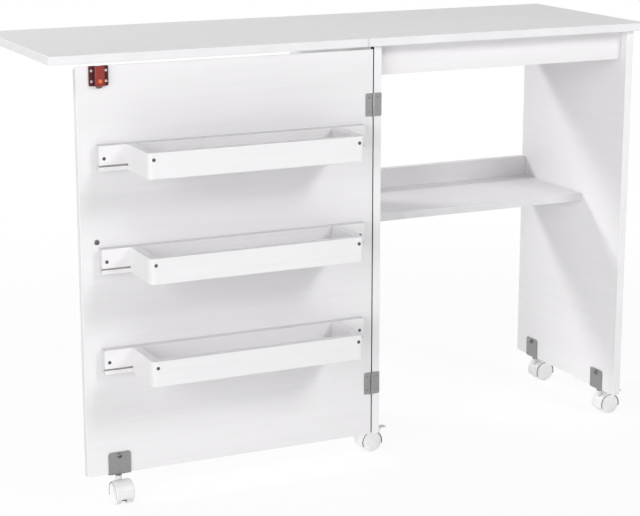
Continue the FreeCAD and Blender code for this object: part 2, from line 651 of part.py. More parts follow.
def tray_end_boards(bottom):
    """Two ends of a tray, grooved on their inner faces."""
    slot = groove(TRAY_LEFT + BOARD - GROOVE_DEPTH, TRAY_RIGHT - BOARD + GROOVE_DEPTH,
                  TRAY_FRONT_BACK, RAIL_FACE, bottom)
    ends = []
    for left in (TRAY_LEFT, TRAY_RIGHT - BOARD):
        end = board(left, left + BOARD, TRAY_FRONT_BACK, RAIL_FACE, bottom, bottom + TRAY_BOARD_HEIGHT)
        ends.append(drilled(end.cut(slot), tray_screws()))
    return Part.makeCompound(ends)


def tray_bottom(bottom):
    """Thin bottom that lies in the grooves of a tray."""
    inset = BOARD - GROOVE_DEPTH + GROOVE_FIT
    low = bottom + GROOVE_RISE
    return block(TRAY_LEFT + inset, TRAY_RIGHT - inset, TRAY_FRONT + inset, FRONT - inset,
                 low, low + TRAY_BOTTOM_THICKNESS)


# Lock

def lock_housing():
    """Base plate and raised housing of the lock, with the bolt channel and the button bore."""
    low = DOOR_TOP - LOCK_HEIGHT
    base = block(LOCK_X - LOCK_WIDTH / 2, LOCK_X + LOCK_WIDTH / 2, FRONT - LOCK_BASE, FRONT, low, DOOR_TOP)
    x = LOCK_HOUSING_WIDTH / 2
    body = block(LOCK_X - x, LOCK_X + x, FRONT - LOCK_DEPTH, FRONT, low, DOOR_TOP)
    edges = [e for e in upright_edges(body) if e.CenterOfMass.y < FRONT - LOCK_BASE]
    shell = base.fuse(body.makeChamfer(LOCK_EDGE_CHAMFER, edges)).removeSplitter()
    half = BOLT_WIDTH / 2 + BOLT_FIT
    channel = block(LOCK_X - half, LOCK_X + half, BOLT_FACE - BOLT_FIT, BOLT_BACK + BOLT_FIT, low, DOOR_TOP)
    bore = rod(BUTTON_DIAMETER + 2 * BOLT_FIT, (LOCK_X, FRONT - LOCK_DEPTH, BUTTON_Z), BACKWARD,
               LOCK_DEPTH - (FRONT - BOLT_FACE))
    return drilled(shell.cut([channel, bore]), lock_screws())


def lock_bolt():
    """Flat bolt, drawn down, with its tail below the housing."""
    x = BOLT_WIDTH / 2
    low = DOOR_TOP - LOCK_HEIGHT - BOLT_TAIL
    return board(LOCK_X - x, LOCK_X + x, BOLT_FACE, BOLT_BACK, low, BOLT_TOP)


def lock_button():
    """Push button in the face of the housing."""
    front = FRONT - LOCK_DEPTH - BUTTON_STANDOUT
    back = BOLT_FACE - BOLT_FIT - BUTTON_TRAVEL
    button = rod(BUTTON_DIAMETER, (LOCK_X, front, BUTTON_Z), BACKWARD, back - front)
    rim = [e for e in button.Edges if e.Closed and e.CenterOfMass.y < front + RUNNING_FIT]
    return button.makeFillet(BUTTON_STANDOUT / 2, rim)


# Casters, each made about its stem axis with the wheels trailing towards +X

def placed(shape, caster):
    """Move a caster piece to its stem and turn it to its heading."""
    turned = shape.copy().rotate(ORIGIN, UPWARD, caster["heading"])
    turned.translate(FreeCAD.Vector(*caster["stem"], 0))
    return turned


def sector(radius, width, start, sweep):
    """Slice of a round disc about the wheel axle, from one angle through another."""
    slice_ = Part.makeCylinder(radius, width, FreeCAD.Vector(0, 0, -width / 2), UPWARD, sweep)
    slice_ = slice_.rotate(ORIGIN, UPWARD, start).rotate(ORIGIN, RIGHTWARD, 90)
    slice_.translate(FreeCAD.Vector(CASTER_TRAIL, 0, WHEEL_R))
    return slice_


def axle_rod(diameter, half_length):
    """Round bar along the wheel axle."""
    return rod(diameter, (CASTER_TRAIL, -half_length, WHEEL_R), BACKWARD, 2 * half_length)


def caster_stems(casters):
    """Threaded stems with their nuts, screwed through the brackets into the boards."""
    spigot_low = HOOD_TOP - SPIGOT_DEPTH
    spigot = rod(SPIGOT_DIAMETER, (0, 0, spigot_low), UPWARD, NUT_BOTTOM - spigot_low)
    thread = rod(STEM_DIAMETER, (0, 0, PLATE_BOTTOM), UPWARD, BRACKET_THICKNESS + STEM_BITE)
    corner = NUT_ACROSS_FLATS / math.sqrt(3)
    turns = [math.radians(60 * i) for i in range(7)]
    hexagon = [FreeCAD.Vector(corner * math.cos(t), corner * math.sin(t), NUT_BOTTOM) for t in turns]
    nut = Part.Face(Part.makePolygon(hexagon)).extrude(UPWARD * NUT_HEIGHT)
    stem = nut.fuse([spigot, thread])
    return [placed(stem, caster) for caster in casters]


def lever_ears():
    """Two ears on the hood that carry the brake lever."""
    angle = math.radians(LEVER_ANGLE)
    foot_r = HOOD_R - HOOD_WALL / 2
    foot = FreeCAD.Vector(CASTER_TRAIL + foot_r * math.cos(angle), 0, WHEEL_R + foot_r * math.sin(angle))
    across = FreeCAD.Vector(-math.sin(angle), 0, math.cos(angle)) * LEVER_EAR_RADIUS
    head = FreeCAD.Vector(LEVER_X, 0, LEVER_Z)
    outline = [foot - across, head - across, head + across, foot + across, foot - across]
    plate = Part.Face(Part.makePolygon(outline)).extrude(BACKWARD * LEVER_EAR)
    ear = plate.fuse(rod(2 * LEVER_EAR_RADIUS, head, BACKWARD, LEVER_EAR)).removeSplitter()
    ear = ear.cut(rod(LEVER_PIN_DIAMETER + 2 * RUNNING_FIT, head, BACKWARD, LEVER_EAR))
    ear.translate(BACKWARD * (LEVER_WIDTH / 2 + LEVER_SIDE_GAP))
    return [ear, ear.mirror(ORIGIN, BACKWARD)]


def caster_hood(caster):
    """Hood with its middle web, its neck and, on a braked caster, the ears of the lever."""
    fender = sector(HOOD_R, 2 * WHEEL_OUTER, HOOD_START_ANGLE, HOOD_SWEEP_ANGLE)
    fender = fender.cut(axle_rod(2 * (HOOD_R - HOOD_WALL), 2 * WHEEL_OUTER))
    web = sector(HOOD_R - HOOD_WALL / 2, HOOD_WEB, HOOD_START_ANGLE, HOOD_SWEEP_ANGLE)
    boss = axle_rod(2 * (WHEEL_R - HOOD_WALL), HOOD_WEB / 2)
    neck_low = HOOD_TOP - SPIGOT_DEPTH / 2
    neck = rod(NECK_DIAMETER, (0, 0, neck_low), UPWARD, NUT_BOTTOM - SWIVEL_GAP - neck_low)
    neck = neck.cut(axle_rod(2 * (HOOD_R - HOOD_WALL), WHEEL_OUTER))
    socket_low = HOOD_TOP - SPIGOT_DEPTH - SWIVEL_GAP
    socket = rod(SPIGOT_DIAMETER + 2 * RUNNING_FIT, (0, 0, socket_low), UPWARD, NUT_BOTTOM - socket_low)
    pieces = [web, boss, neck] + (lever_ears() if caster["braked"] else [])
    hood = fender.fuse(pieces).removeSplitter().cut([socket, axle_rod(AXLE_DIAMETER, WHEEL_OUTER)])
    return placed(hood, caster)


def caster_wheels(caster):
    """Pair of wheels with blind bores and domed outer faces."""
    wheel = rod(WHEEL_DIAMETER, (CASTER_TRAIL, WHEEL_INNER, WHEEL_R), BACKWARD, WHEEL_WIDTH)
    wheel = wheel.makeFillet(WHEEL_EDGE_RADIUS, [e for e in wheel.Edges if e.Closed])
    dome_r = ((WHEEL_DOME_DIAMETER / 2) ** 2 + WHEEL_DOME_HEIGHT ** 2) / (2 * WHEEL_DOME_HEIGHT)
    centre = FreeCAD.Vector(CASTER_TRAIL, WHEEL_OUTER + WHEEL_DOME_HEIGHT - dome_r, WHEEL_R)
    cap = rod(WHEEL_DOME_DIAMETER, (CASTER_TRAIL, WHEEL_INNER, WHEEL_R), BACKWARD, 2 * WHEEL_WIDTH)
    wheel = wheel.fuse(cap.common(Part.makeSphere(dome_r, centre)))
    bore = axle_rod(AXLE_DIAMETER + 2 * RUNNING_FIT, WHEEL_OUTER - WHEEL_END_WALL)
    wheel = wheel.removeSplitter().cut(bore)
    return placed(Part.makeCompound([wheel, wheel.mirror(ORIGIN, BACKWARD)]), caster)


def caster_axle(caster):
    """Axle pressed through the web of the hood."""
    return placed(axle_rod(AXLE_DIAMETER, WHEEL_OUTER - WHEEL_END_WALL - SWIVEL_GAP), caster)


def brake_lever(caster):
    """Foot lever with its barrel and pivot pin, standing released."""
    x, z = LEVER_X, LEVER_Z
    barrel = rod(LEVER_BARREL_DIAMETER, (x, -LEVER_WIDTH / 2, z), BACKWARD, LEVER_WIDTH)
    pin_half = LEVER_WIDTH / 2 + LEVER_SIDE_GAP + LEVER_EAR
    pin = rod(LEVER_PIN_DIAMETER, (x, -pin_half, z), BACKWARD, 2 * pin_half)
    half = LEVER_THICKNESS / 2
    pedal = block(x, x + LEVER_LENGTH, -LEVER_WIDTH / 2, LEVER_WIDTH / 2, z - half, z + half)
    pedal = pedal.rotate(FreeCAD.Vector(x, 0, z), BACKWARD, -LEVER_TILT)
    return placed(barrel.fuse([pin, pedal]).removeSplitter(), caster)


def bracket():
    """Angle bracket about its stem: upright leg on the side of -Y, plate under the board."""
    face = -BOARD / 2
    half = BRACKET_WIDTH / 2
    leg = block(-half, half, face - BRACKET_THICKNESS, face, PLATE_BOTTOM, PANEL_BOTTOM + BRACKET_HEIGHT)
    tops = [e for e in leg.Edges if e.CenterOfMass.z > PANEL_BOTTOM + BRACKET_HEIGHT - RUNNING_FIT]
    tops = [e for e in tops if abs(e.tangentAt(e.FirstParameter).y) > 0.99]
    leg = leg.makeFillet(BRACKET_CORNER_RADIUS, tops)
    plate = block(-half, half, face, BOARD / 2 - BRACKET_EDGE_INSET, PLATE_BOTTOM, PANEL_BOTTOM)
    return leg.fuse(plate).removeSplitter()


def caster_brackets(casters):
    """Brackets of some casters, each turned so that its leg lies on the inner face of its board."""
    stems = caster_stems(casters)
    bolts = cabinet_bracket_bolts() + door_bracket_bolts()
    brackets = []
    for caster in casters:
        piece = bracket().rotate(ORIGIN, UPWARD, caster["turn"])
        piece.translate(FreeCAD.Vector(*caster["stem"], 0))
        brackets.append(drilled(piece, stems + bolts))
    return Part.makeCompound(brackets)


def nodes():
    """Every piece of the table by its name."""
    pieces = {
        "fixed_top": fixed_top(),
        "drop_leaf": drop_leaf(),
        "left_side_panel": side_panel(CABINET_LEFT),
        "door_gap_strip": door_gap_strip(),
        "right_side_panel": side_panel(INNER_RIGHT),
        "front_apron": apron(APRON_FRONT),
        "rear_apron": apron(CABINET_BACK - BOARD),
        "shelf": shelf(),
        "shelf_back_rail": shelf_back_rail(),
        "top_dowels": Part.makeCompound(top_dowels()),
        "cabinet_screws": Part.makeCompound(cabinet_screws()),
        "cabinet_hardware_screws": Part.makeCompound(
            door_hinge_screws(1) + leaf_hinge_screws(1) + cabinet_bracket_bolts()),
        "cabinet_caster_brackets": caster_brackets(CABINET_CASTERS),
        "cabinet_caster_stems": Part.makeCompound(caster_stems(CABINET_CASTERS)),
        "door_hinge_fixed_leaves": door_hinge_leaves(False),
        "door_hinge_moving_leaves": door_hinge_leaves(True),
        "leaf_hinge_fixed_plates": leaf_hinge_plates(False),
        "leaf_hinge_moving_plates": leaf_hinge_plates(True),
        "hinge_pins": Part.makeCompound(hinge_pins()),
        "door_panel": door_panel(),
        "door_knob": door_knob(),
        "knob_bolt": knob_bolt(),
        "tray_screws": Part.makeCompound(tray_screws()),
        "door_hardware_screws": Part.makeCompound(
            door_hinge_screws(-1) + door_bracket_bolts() + lock_screws()),
        "door_caster_bracket": caster_brackets([DOOR_CASTER]),
        "door_caster_stem": Part.makeCompound(caster_stems([DOOR_CASTER])),
        "leaf_screws": Part.makeCompound(leaf_hinge_screws(-1) + strike_screws()),
        "lock_housing": lock_housing(),
        "lock_bolt": lock_bolt(),
        "lock_button": lock_button(),
        "lock_strike": lock_strike(),
    }
    for name, height in zip(TRAY_NAMES, TRAY_HEIGHTS):
        pieces[name + "_tray_back_rail"] = tray_back_rail(height)
        pieces[name + "_tray_front_board"] = tray_front_board(height)
        pieces[name + "_tray_end_boards"] = tray_end_boards(height)
        pieces[name + "_tray_bottom"] = tray_bottom(height)
    for caster in CABINET_CASTERS + (DOOR_CASTER,):
        pieces[caster["name"] + "_caster_hood"] = caster_hood(caster)
        pieces[caster["name"] + "_caster_wheels"] = caster_wheels(caster)
        pieces[caster["name"] + "_caster_axle"] = caster_axle(caster)
        if caster["braked"]:
            pieces[caster["name"] + "_brake_lever"] = brake_lever(caster)
    return pieces


os.makedirs("parts", exist_ok=True)
for node, shape in nodes().items():
    shape.exportStep("parts/" + node + ".step")
    print(node, len(shape.Solids), round(shape.Volume), shape.isValid())
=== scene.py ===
"""Looks of a folding cutting table on casters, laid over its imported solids.

Shapes are drawn in millimetres and stored in metres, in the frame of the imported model.
X runs to the right, Y to the back and Z up.
"""

import logging
import math
from collections.abc import Callable, Sequence
from dataclasses import dataclass
from enum import Enum

import bmesh
import bpy
from mathutils import Matrix, Vector


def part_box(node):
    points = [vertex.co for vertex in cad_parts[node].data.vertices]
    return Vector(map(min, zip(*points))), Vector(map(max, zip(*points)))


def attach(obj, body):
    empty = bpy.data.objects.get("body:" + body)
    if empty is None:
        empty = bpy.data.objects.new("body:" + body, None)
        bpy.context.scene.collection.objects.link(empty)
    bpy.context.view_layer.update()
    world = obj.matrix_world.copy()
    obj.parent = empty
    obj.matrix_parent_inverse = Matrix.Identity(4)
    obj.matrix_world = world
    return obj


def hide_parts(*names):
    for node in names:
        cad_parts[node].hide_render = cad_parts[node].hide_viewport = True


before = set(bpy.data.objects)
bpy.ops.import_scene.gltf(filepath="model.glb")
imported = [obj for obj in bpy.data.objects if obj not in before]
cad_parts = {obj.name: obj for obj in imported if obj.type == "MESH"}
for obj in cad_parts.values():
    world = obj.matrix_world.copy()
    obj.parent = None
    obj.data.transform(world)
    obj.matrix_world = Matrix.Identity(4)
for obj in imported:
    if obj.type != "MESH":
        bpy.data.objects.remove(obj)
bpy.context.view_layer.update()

MM = 0.001
LOG = logging.getLogger("cutting_table")

SHARP_ANGLE = math.radians(32.0)
FLAT_ANGLE = math.radians(1.0)
MERGE_DISTANCE = 0.002 * MM
EASE_STEPS = 3
SHANK_SIDES = 20
SPIN_SEED = 7
NOISE_LOW, NOISE_HIGH = 0.3, 0.7

Colour = tuple[float, float, float]
Cover = tuple[float, float, float, float]
Scale = tuple[float, float, float]
Flat = tuple[float, float]
Box = tuple[Vector, Vector]
Socket = bpy.types.NodeSocket
Value = Socket | float | str | tuple


class Axis(Enum):
    """Axis that a grain runs along, or that a board is thin along."""

    SIDEWAYS = 0
    DEPTHWAYS = 1
    UPRIGHT = 2

    def stretched(self, along: float, across: float) -> Scale:
        """Scale of a pattern that is drawn out along the axis."""
        return tuple(along if axis == self.value else across for axis in range(3))


def even(value: float) -> Scale:
    """The same value three times."""
    return (value, value, value)


def opaque(colour: Colour, share: float = 1.0) -> Cover:
    """Colour made lighter or darker by a share, with full cover."""
    return (*(min(1.0, part * share) for part in colour), 1.0)


PURE_WHITE = opaque(even(1.0))


class NodeGraph:
    """Node tree that is drawn node by node."""

    def __init__(self, tree: bpy.types.NodeTree) -> None:
        """Start with an empty tree."""
        self.tree = tree
        self.tree.nodes.clear()

    def node(self, kind: str, **settings: object) -> bpy.types.Node:
        """Add a node to the tree.

        Args:
            kind: Type of the node.
            **settings: Properties to set on it.

        Returns:
            The new node.
        """
        added = self.tree.nodes.new(kind)
        for key, value in settings.items():
            setattr(added, key, value)
        return added

    def feed(self, target: Socket, source: Value) -> None:
        """Link a socket to another one, or set it to a value.

        Args:
            target: Socket that is fed.
            source: Socket or value that it gets.
        """
        if isinstance(source, Socket):
            self.tree.links.new(source, target)
        else:
            target.default_value = source

    def made(self, kind: str, inputs: dict[str | int, Value], output: str | int = 0,
             **settings: object) -> Socket:
        """Add a node, feed its inputs and give one of its outputs.

        Args:
            kind: Type of the node.
            inputs: Source of each input, by the name or number of the input.
            output: Name or number of the output.
            **settings: Properties to set on the node.

        Returns:
            Socket of the output.
        """
        added = self.node(kind, **settings)
        for key, source in inputs.items():
            self.feed(added.inputs[key], source)
        return added.outputs[output]

    def math(self, operation: str, first: Value, second: Value) -> Socket:
        """Value worked out from two others by a named operation."""
        return self.made("ShaderNodeMath", {0: first, 1: second}, operation=operation)

    def end(self, kind: str, surface: Socket) -> None:
        """Close the tree with an output node that shows a surface."""
        self.feed(self.node(kind).inputs["Surface"], surface)


class ShaderGraph(NodeGraph):
    """Node tree of one material, with its surface shader."""

    def __init__(self, name: str) -> None:
        """Start a material with a surface shader joined to its output.

        Args:
            name: Name of the material.
        """
        self.material = bpy.data.materials.new(name)
        self.material.use_nodes = True
        super().__init__(self.material.node_tree)
        self.surface = self.node("ShaderNodeBsdfPrincipled")
        self.end("ShaderNodeOutputMaterial", self.surface.outputs["BSDF"])

    def wear(self, key: str, source: Value) -> None:
        """Feed a named input of the surface."""
        self.feed(self.surface.inputs[key], source)

    def noise(self, scale: Scale, detail: float = 3.0, twist: float = 0.0) -> Socket:
        """Noise over object coordinates.

        Args:
            scale: Repeats per metre along each axis.
            detail: Octaves of finer noise.
            twist: Distortion of the pattern.

        Returns:
            Socket with a value about one half.
        """
        place = self.made("ShaderNodeTexCoord", {}, "Object")
        scaled = self.made("ShaderNodeMapping", {"Vector": place, "Scale": scale}, "Vector")
        settings = {"Vector": scaled, "Scale": 1.0, "Detail": detail, "Distortion": twist}
        return self.made("ShaderNodeTexNoise", settings)

    def tint(self, noise: Socket, low: Cover, high: Cover) -> Socket:
        """Colour that runs between two ends as a noise rises.

        Args:
            noise: Socket that drives the colour.
            low: Colour where the noise is low.
            high: Colour where the noise is high.

        Returns:
            Socket with the colour.
        """
        ramp = self.node("ShaderNodeValToRGB")
        first, last = ramp.color_ramp.elements
        first.position, first.color = NOISE_LOW, low
        last.position, last.color = NOISE_HIGH, high
        self.feed(ramp.inputs["Fac"], noise)
        return ramp.outputs["Color"]

    def multiply(self, first: Socket, second: Socket) -> Socket:
        """Product of two colours."""
        return self.made("ShaderNodeMix", {0: 1.0, 6: first, 7: second}, 2,
                         data_type="RGBA", blend_type="MULTIPLY")

    def roughness(self, noise: Socket, rough: float, span: Flat) -> None:
        """Let the roughness of the surface follow a noise.

        Args:
            noise: Socket that drives the roughness.
            rough: Roughness in the middle.
            span: Change of the roughness where the noise is low, and where it is high.
        """
        low, high = span
        ends = {"From Min": NOISE_LOW, "From Max": NOISE_HIGH, "To Min": rough + low, "To Max": rough + high}
        self.wear("Roughness", self.made("ShaderNodeMapRange", {"Value": noise, **ends}, "Result"))

    def relief(self, height: Socket, strength: float, depth: float) -> None:
        """Raise the surface by a height pattern.

        Args:
            height: Socket with the height.
            strength: How strongly the relief shades.
            depth: Depth of the relief in millimetres.
        """
        settings = {"Height": height, "Strength": strength, "Distance": depth * MM}
        self.wear("Normal", self.made("ShaderNodeBump", settings, "Normal"))


@dataclass(frozen=True)
class Finish:
    """Finish of a piece, made once and shared by every piece that wears it."""

    name: str
    slot: str
    shade: Colour
    rough: float

    def material(self) -> bpy.types.Material:
        """Material of the finish, made on first use."""
        return bpy.data.materials.get(self.name) or self.mixed()

    def mixed(self) -> bpy.types.Material:
        """Make the material of the finish.

        Returns:
            The material.
        """
        graph = ShaderGraph(self.name)
        self.draw(graph)
        return graph.material

    def draw(self, graph: ShaderGraph) -> None:
        """Draw the pattern of the finish in the tree of its material."""
        raise NotImplementedError

    def tone(self, share: float) -> Cover:
        """Shade of the finish, made lighter or darker by a share."""
        return opaque(self.shade, share)


@dataclass(frozen=True)
class Melamine(Finish):
    """Board face with a faint printed grain under a satin resin skin."""

    grain: Axis = Axis.SIDEWAYS
    gloss: float = 0.5
    contrast: float = 0.028
    streak_scale: Flat = (5.0, 130.0)
    thread_scale: Flat = (40.0, 1600.0)
    thread_tone: float = 0.985
    mottle_scale: float = 7.0
    mottle_tone: Colour = (0.988, 0.986, 0.988)
    rough_span: Flat = (-0.06, 0.08)

    def draw(self, graph: ShaderGraph) -> None:
        """Draw streaks and finer threads along the grain, and a slow mottle.

        Args:
            graph: Tree of the material.
        """
        graph.wear("Specular IOR Level", self.gloss)
        streaks = graph.noise(self.grain.stretched(*self.streak_scale), detail=7.0, twist=0.3)
        threads = graph.noise(self.grain.stretched(*self.thread_scale))
        mottle = graph.noise(even(self.mottle_scale))
        grained = graph.tint(streaks, self.tone(1.0 - self.contrast), self.tone(1.0))
        threaded = graph.tint(threads, opaque(even(self.thread_tone)), PURE_WHITE)
        clouded = graph.tint(mottle, opaque(self.mottle_tone), PURE_WHITE)
        graph.wear("Base Color", graph.multiply(graph.multiply(grained, threaded), clouded))
        graph.roughness(threads, self.rough, self.rough_span)
        graph.relief(graph.math("ADD", streaks, threads), strength=0.1, depth=0.05)


@dataclass(frozen=True)
class EdgeBand(Finish):
    """Thin smooth plastic band on the edges of a board."""

    tone_scale: float = 18.0
    skin_scale: float = 900.0
    dark_share: float = 0.96
    rough_span: Flat = (-0.05, 0.07)

    def draw(self, graph: ShaderGraph) -> None:
        """Draw a slow change of tone under a fine skin.

        Args:
            graph: Tree of the material.
        """
        tones = graph.noise(even(self.tone_scale), detail=4.0)
        skin = graph.noise(even(self.skin_scale), detail=2.0)
        graph.wear("Base Color", graph.tint(tones, self.tone(self.dark_share), self.tone(1.0)))
        graph.roughness(skin, self.rough, self.rough_span)
        graph.relief(skin, strength=0.1, depth=0.03)


@dataclass(frozen=True)
class PlatedSteel(Finish):
    """Pressed sheet or turned steel under a thin plating, with fine rolling marks."""

    marks: Axis = Axis.UPRIGHT
    cloud_scale: float = 160.0
    cloud_shares: Flat = (0.93, 1.06)
    mark_scale: Flat = (90.0, 3200.0)
    mark_tone: float = 0.92
    rough_span: Flat = (-0.07, 0.1)

    def draw(self, graph: ShaderGraph) -> None:
        """Draw cloudy plating with rolling marks.

        Args:
            graph: Tree of the material.
        """
        graph.wear("Metallic", 1.0)
        clouds = graph.noise(even(self.cloud_scale), detail=5.0, twist=0.4)
        rolled = graph.noise(self.marks.stretched(*self.mark_scale))
        plating = graph.tint(clouds, *(self.tone(share) for share in self.cloud_shares))
        marked = graph.tint(rolled, opaque(even(self.mark_tone)), PURE_WHITE)
        graph.wear("Base Color", graph.multiply(plating, marked))
        graph.roughness(clouds, self.rough, self.rough_span)
        graph.relief(rolled, strength=0.15, depth=0.02)


@dataclass(frozen=True)
class MouldedPlastic(Finish):
    """Moulded plastic with a fine spark texture and faint flow clouds."""

    clouding: float = 0.05
    gloss: float = 0.5
    flow_scale: float = 45.0
    spark_scale: float = 2400.0
    rough_span: Flat = (-0.05, 0.07)

    def draw(self, graph: ShaderGraph) -> None:
        """Draw flow clouds under a fine moulded texture.

        Args:
            graph: Tree of the material.
        """
        graph.wear("Specular IOR Level", self.gloss)
        flow = graph.noise(even(self.flow_scale), detail=4.0, twist=0.8)
        spark = graph.noise(even(self.spark_scale), detail=2.0)
        graph.wear("Base Color", graph.tint(flow, self.tone(1.0 - self.clouding), self.tone(1.0)))
        graph.roughness(flow, self.rough, self.rough_span)
        graph.relief(spark, strength=0.12, depth=0.03)


@dataclass(frozen=True)
class PlainWood(Finish):
    """Bare wood or board core with its grain along one axis."""

    grain: Axis = Axis.UPRIGHT
    fibre_scale: Flat = (40.0, 900.0)
    fibre_shares: Flat = (0.72, 1.05)
    rough_span: Flat = (-0.08, 0.08)

    def draw(self, graph: ShaderGraph) -> None:
        """Draw fine fibres along the grain.

        Args:
            graph: Tree of the material.
        """
        fibres = graph.noise(self.grain.stretched(*self.fibre_scale), detail=6.0, twist=0.5)
        graph.wear("Base Color", graph.tint(fibres, *(self.tone(share) for share in self.fibre_shares)))
        graph.roughness(fibres, self.rough, self.rough_span)
        graph.relief(fibres, strength=0.3, depth=0.1)


WHITE = (0.84, 0.828, 0.84)
TOP_FACE = Melamine("top_face_melamine", "top_melamine", (0.855, 0.843, 0.855), 0.50, gloss=0.3)
BOARD_FACE = Melamine("board_face_melamine", "white_melamine", WHITE, 0.40)
PANEL_FACE = Melamine("panel_face_melamine", "white_melamine", WHITE, 0.40, Axis.DEPTHWAYS)
# Darker copy of the white melamine on the tray end boards: painted shade on their side faces.
TRAY_END_SHADED = Melamine("tray_end_painted_shade_melamine", "white_melamine", (0.765, 0.755, 0.765), 0.40, Axis.DEPTHWAYS)
TOP_EDGE = EdgeBand("top_edge_band", "top_melamine", (0.83, 0.82, 0.835), 0.34)
BOARD_EDGE = EdgeBand("board_edge_band", "white_melamine", (0.87, 0.86, 0.875), 0.34)
# Darker copy of the edge band on the edges of the shelf and the trays: painted shade.
SHADED_EDGE = EdgeBand("edge_band_painted_shade", "white_melamine", (0.77, 0.76, 0.775), 0.36)
# Still darker copy of the edge band on the side ends of the tops and the door and on the tray rails: painted
# shade.
END_EDGE_SHADED = EdgeBand("end_edge_painted_shade_band", "white_melamine", (0.63, 0.622, 0.635), 0.38)
ZINC = PlatedSteel("zinc_plating", "zinc_steel", (0.34, 0.335, 0.34), 0.36)
DARK_ZINC = PlatedSteel("dark_zinc_plating", "zinc_steel", (0.17, 0.165, 0.17), 0.24)
NICKEL = PlatedSteel("nickel_plating", "zinc_steel", (0.84, 0.81, 0.80), 0.28)
BLUED_STEEL = PlatedSteel("blued_steel", "dark_steel", (0.17, 0.168, 0.172), 0.32)
CASTER_WHITE = MouldedPlastic("caster_white_plastic", "caster_white", (0.83, 0.825, 0.835), 0.30)
# Near-black plastic on the rims and inside of the caster hoods and on their webs: painted shade of the gaps
# round the wheels.
CASTER_GAP_SHADE = MouldedPlastic("caster_gap_shade_plastic", "caster_white", (0.045, 0.045, 0.047), 0.45)
# Near-black matt plastic of the strip in the gap beside the door: painted shade of the narrow gap.
GAP_STRIP_SHADE = MouldedPlastic("gap_strip_painted_shade_plastic", "strip_dark", (0.014, 0.014, 0.015), 0.6, gloss=0.1)
KNOB_WHITE = MouldedPlastic("knob_white_plastic", "knob_white", (0.84, 0.83, 0.835), 0.28)
# Dark maroon of the lock's base, also worn by the housing's sides as painted shade.
LOCK_MAROON_AND_SIDE_SHADE = MouldedPlastic("lock_maroon_and_side_shade_plastic", "lock_maroon", (0.100, 0.016, 0.020), 0.38, gloss=0.25)
LOCK_RED = MouldedPlastic("lock_red_plastic", "lock_maroon", (0.300, 0.042, 0.033), 0.34, 0.12, 0.3)
BUTTON_ORANGE = MouldedPlastic("button_orange_plastic", "button_orange", (0.78, 0.16, 0.055), 0.28, 0.08)
DOWEL_BIRCH = PlainWood("dowel_birch", "birch", (0.66, 0.48, 0.30), 0.6)
# Board core in the grooves of the tray rails, toned to a grey as painted shade of the groove.
GROOVE_CORE_SHADED = PlainWood("groove_core_painted_shade", "white_melamine", (0.66, 0.645, 0.64), 0.8, Axis.SIDEWAYS)


def node_box(node: str) -> Box:
    """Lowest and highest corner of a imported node, in millimetres."""
    low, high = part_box(node)
    return low / MM, high / MM


def turn(degrees: float, axis: str) -> Matrix:
    """Turn about an axis through the origin."""
    return Matrix.Rotation(math.radians(degrees), 4, axis)


def front_frame(node: str) -> Matrix:
    """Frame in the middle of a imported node's front, whose Z axis runs to the back."""
    low, high = node_box(node)
    return Matrix.Translation(((low.x + high.x) / 2, low.y, (low.z + high.z) / 2)) @ turn(-90.0, "X")


def arc(centre: Flat, radius: float, start: float, end: float, steps: int) -> list[Flat]:
    """Points of a flat arc.

    Args:
        centre: Middle of the arc.
        radius: Its radius.
        start: Angle of its first point in degrees.
        end: Angle of its last point.
        steps: Number of chords.

    Returns:
        The points, with both ends.
    """
    angles = [math.radians(start + (end - start) * i / steps) for i in range(steps + 1)]
    return [(centre[0] + radius * math.cos(a), centre[1] + radius * math.sin(a)) for a in angles]


def placed(name: str, data: bpy.types.ID) -> bpy.types.Object:
    """Put a mesh, lamp or camera into the scene as a new object.

    Args:
        name: Name of the object.
        data: Mesh, lamp or camera.

    Returns:
        The object.
    """
    thing = bpy.data.objects.new(name, data)
    bpy.context.scene.collection.objects.link(thing)
    return thing


def dressed(piece: bpy.types.Object, finishes: Sequence[Finish]) -> None:
    """Put the materials of some finishes on an object, in their order.

    Args:
        piece: Object that is dressed.
        finishes: Finishes that it wears.
    """
    if piece.data.materials:
        piece.data.materials.clear()
    for finish in finishes:
        piece.data.materials.append(finish.material())


def mounted(mesh: bpy.types.Mesh, body: str, finishes: Sequence[Finish], replaced: Sequence[str] = (),
            ease: float = 0.0) -> bpy.types.Object:
    """Make a finished mesh a piece of the table.

    Args:
        mesh: Mesh in metres, in its place.
        body: Body that the piece rides on.
        finishes: Finishes by the material index of the faces.
        replaced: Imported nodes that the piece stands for.
        ease: Width in millimetres of the rounding on sharp edges, or 0 for none.

    Returns:
        The piece.
    """
    piece = placed(mesh.name, mesh)
    dressed(piece, finishes)
    mesh.shade_smooth()
    mesh.set_sharp_from_angle(angle=SHARP_ANGLE)
    if ease:
        bevel = piece.modifiers.new("eased_edges", "BEVEL")
        bevel.width = ease * MM
        bevel.segments = EASE_STEPS
        bevel.limit_method = "ANGLE"
        bevel.angle_limit = SHARP_ANGLE
        bevel.harden_normals = True
    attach(piece, body)
    if replaced:
        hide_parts(*replaced)
    LOG.info("%s rides on %s", piece.name, body)
    return piece


def stored(bm: bmesh.types.BMesh, name: str) -> bpy.types.Mesh:
    """Keep a mesh that was being worked on under a name.

    Args:
        bm: Mesh being worked on, which is freed.
        name: Name of the kept mesh.

    Returns:
        The kept mesh.
    """
    mesh = bpy.data.meshes.new(name)
    bm.to_mesh(mesh)
    bm.free()
    return mesh


def applied(host: bpy.types.Object, name: str) -> bpy.types.Mesh:
    """Apply the modifiers of an object and take them off.

    Args:
        host: Object with modifiers.
        name: Name of the new mesh.

    Returns:
        The mesh that the modifiers make.
    """
    bpy.context.view_layer.update()
    mesh = bpy.data.meshes.new_from_object(host.evaluated_get(bpy.context.evaluated_depsgraph_get()))
    mesh.name = name
    host.modifiers.clear()
    return mesh


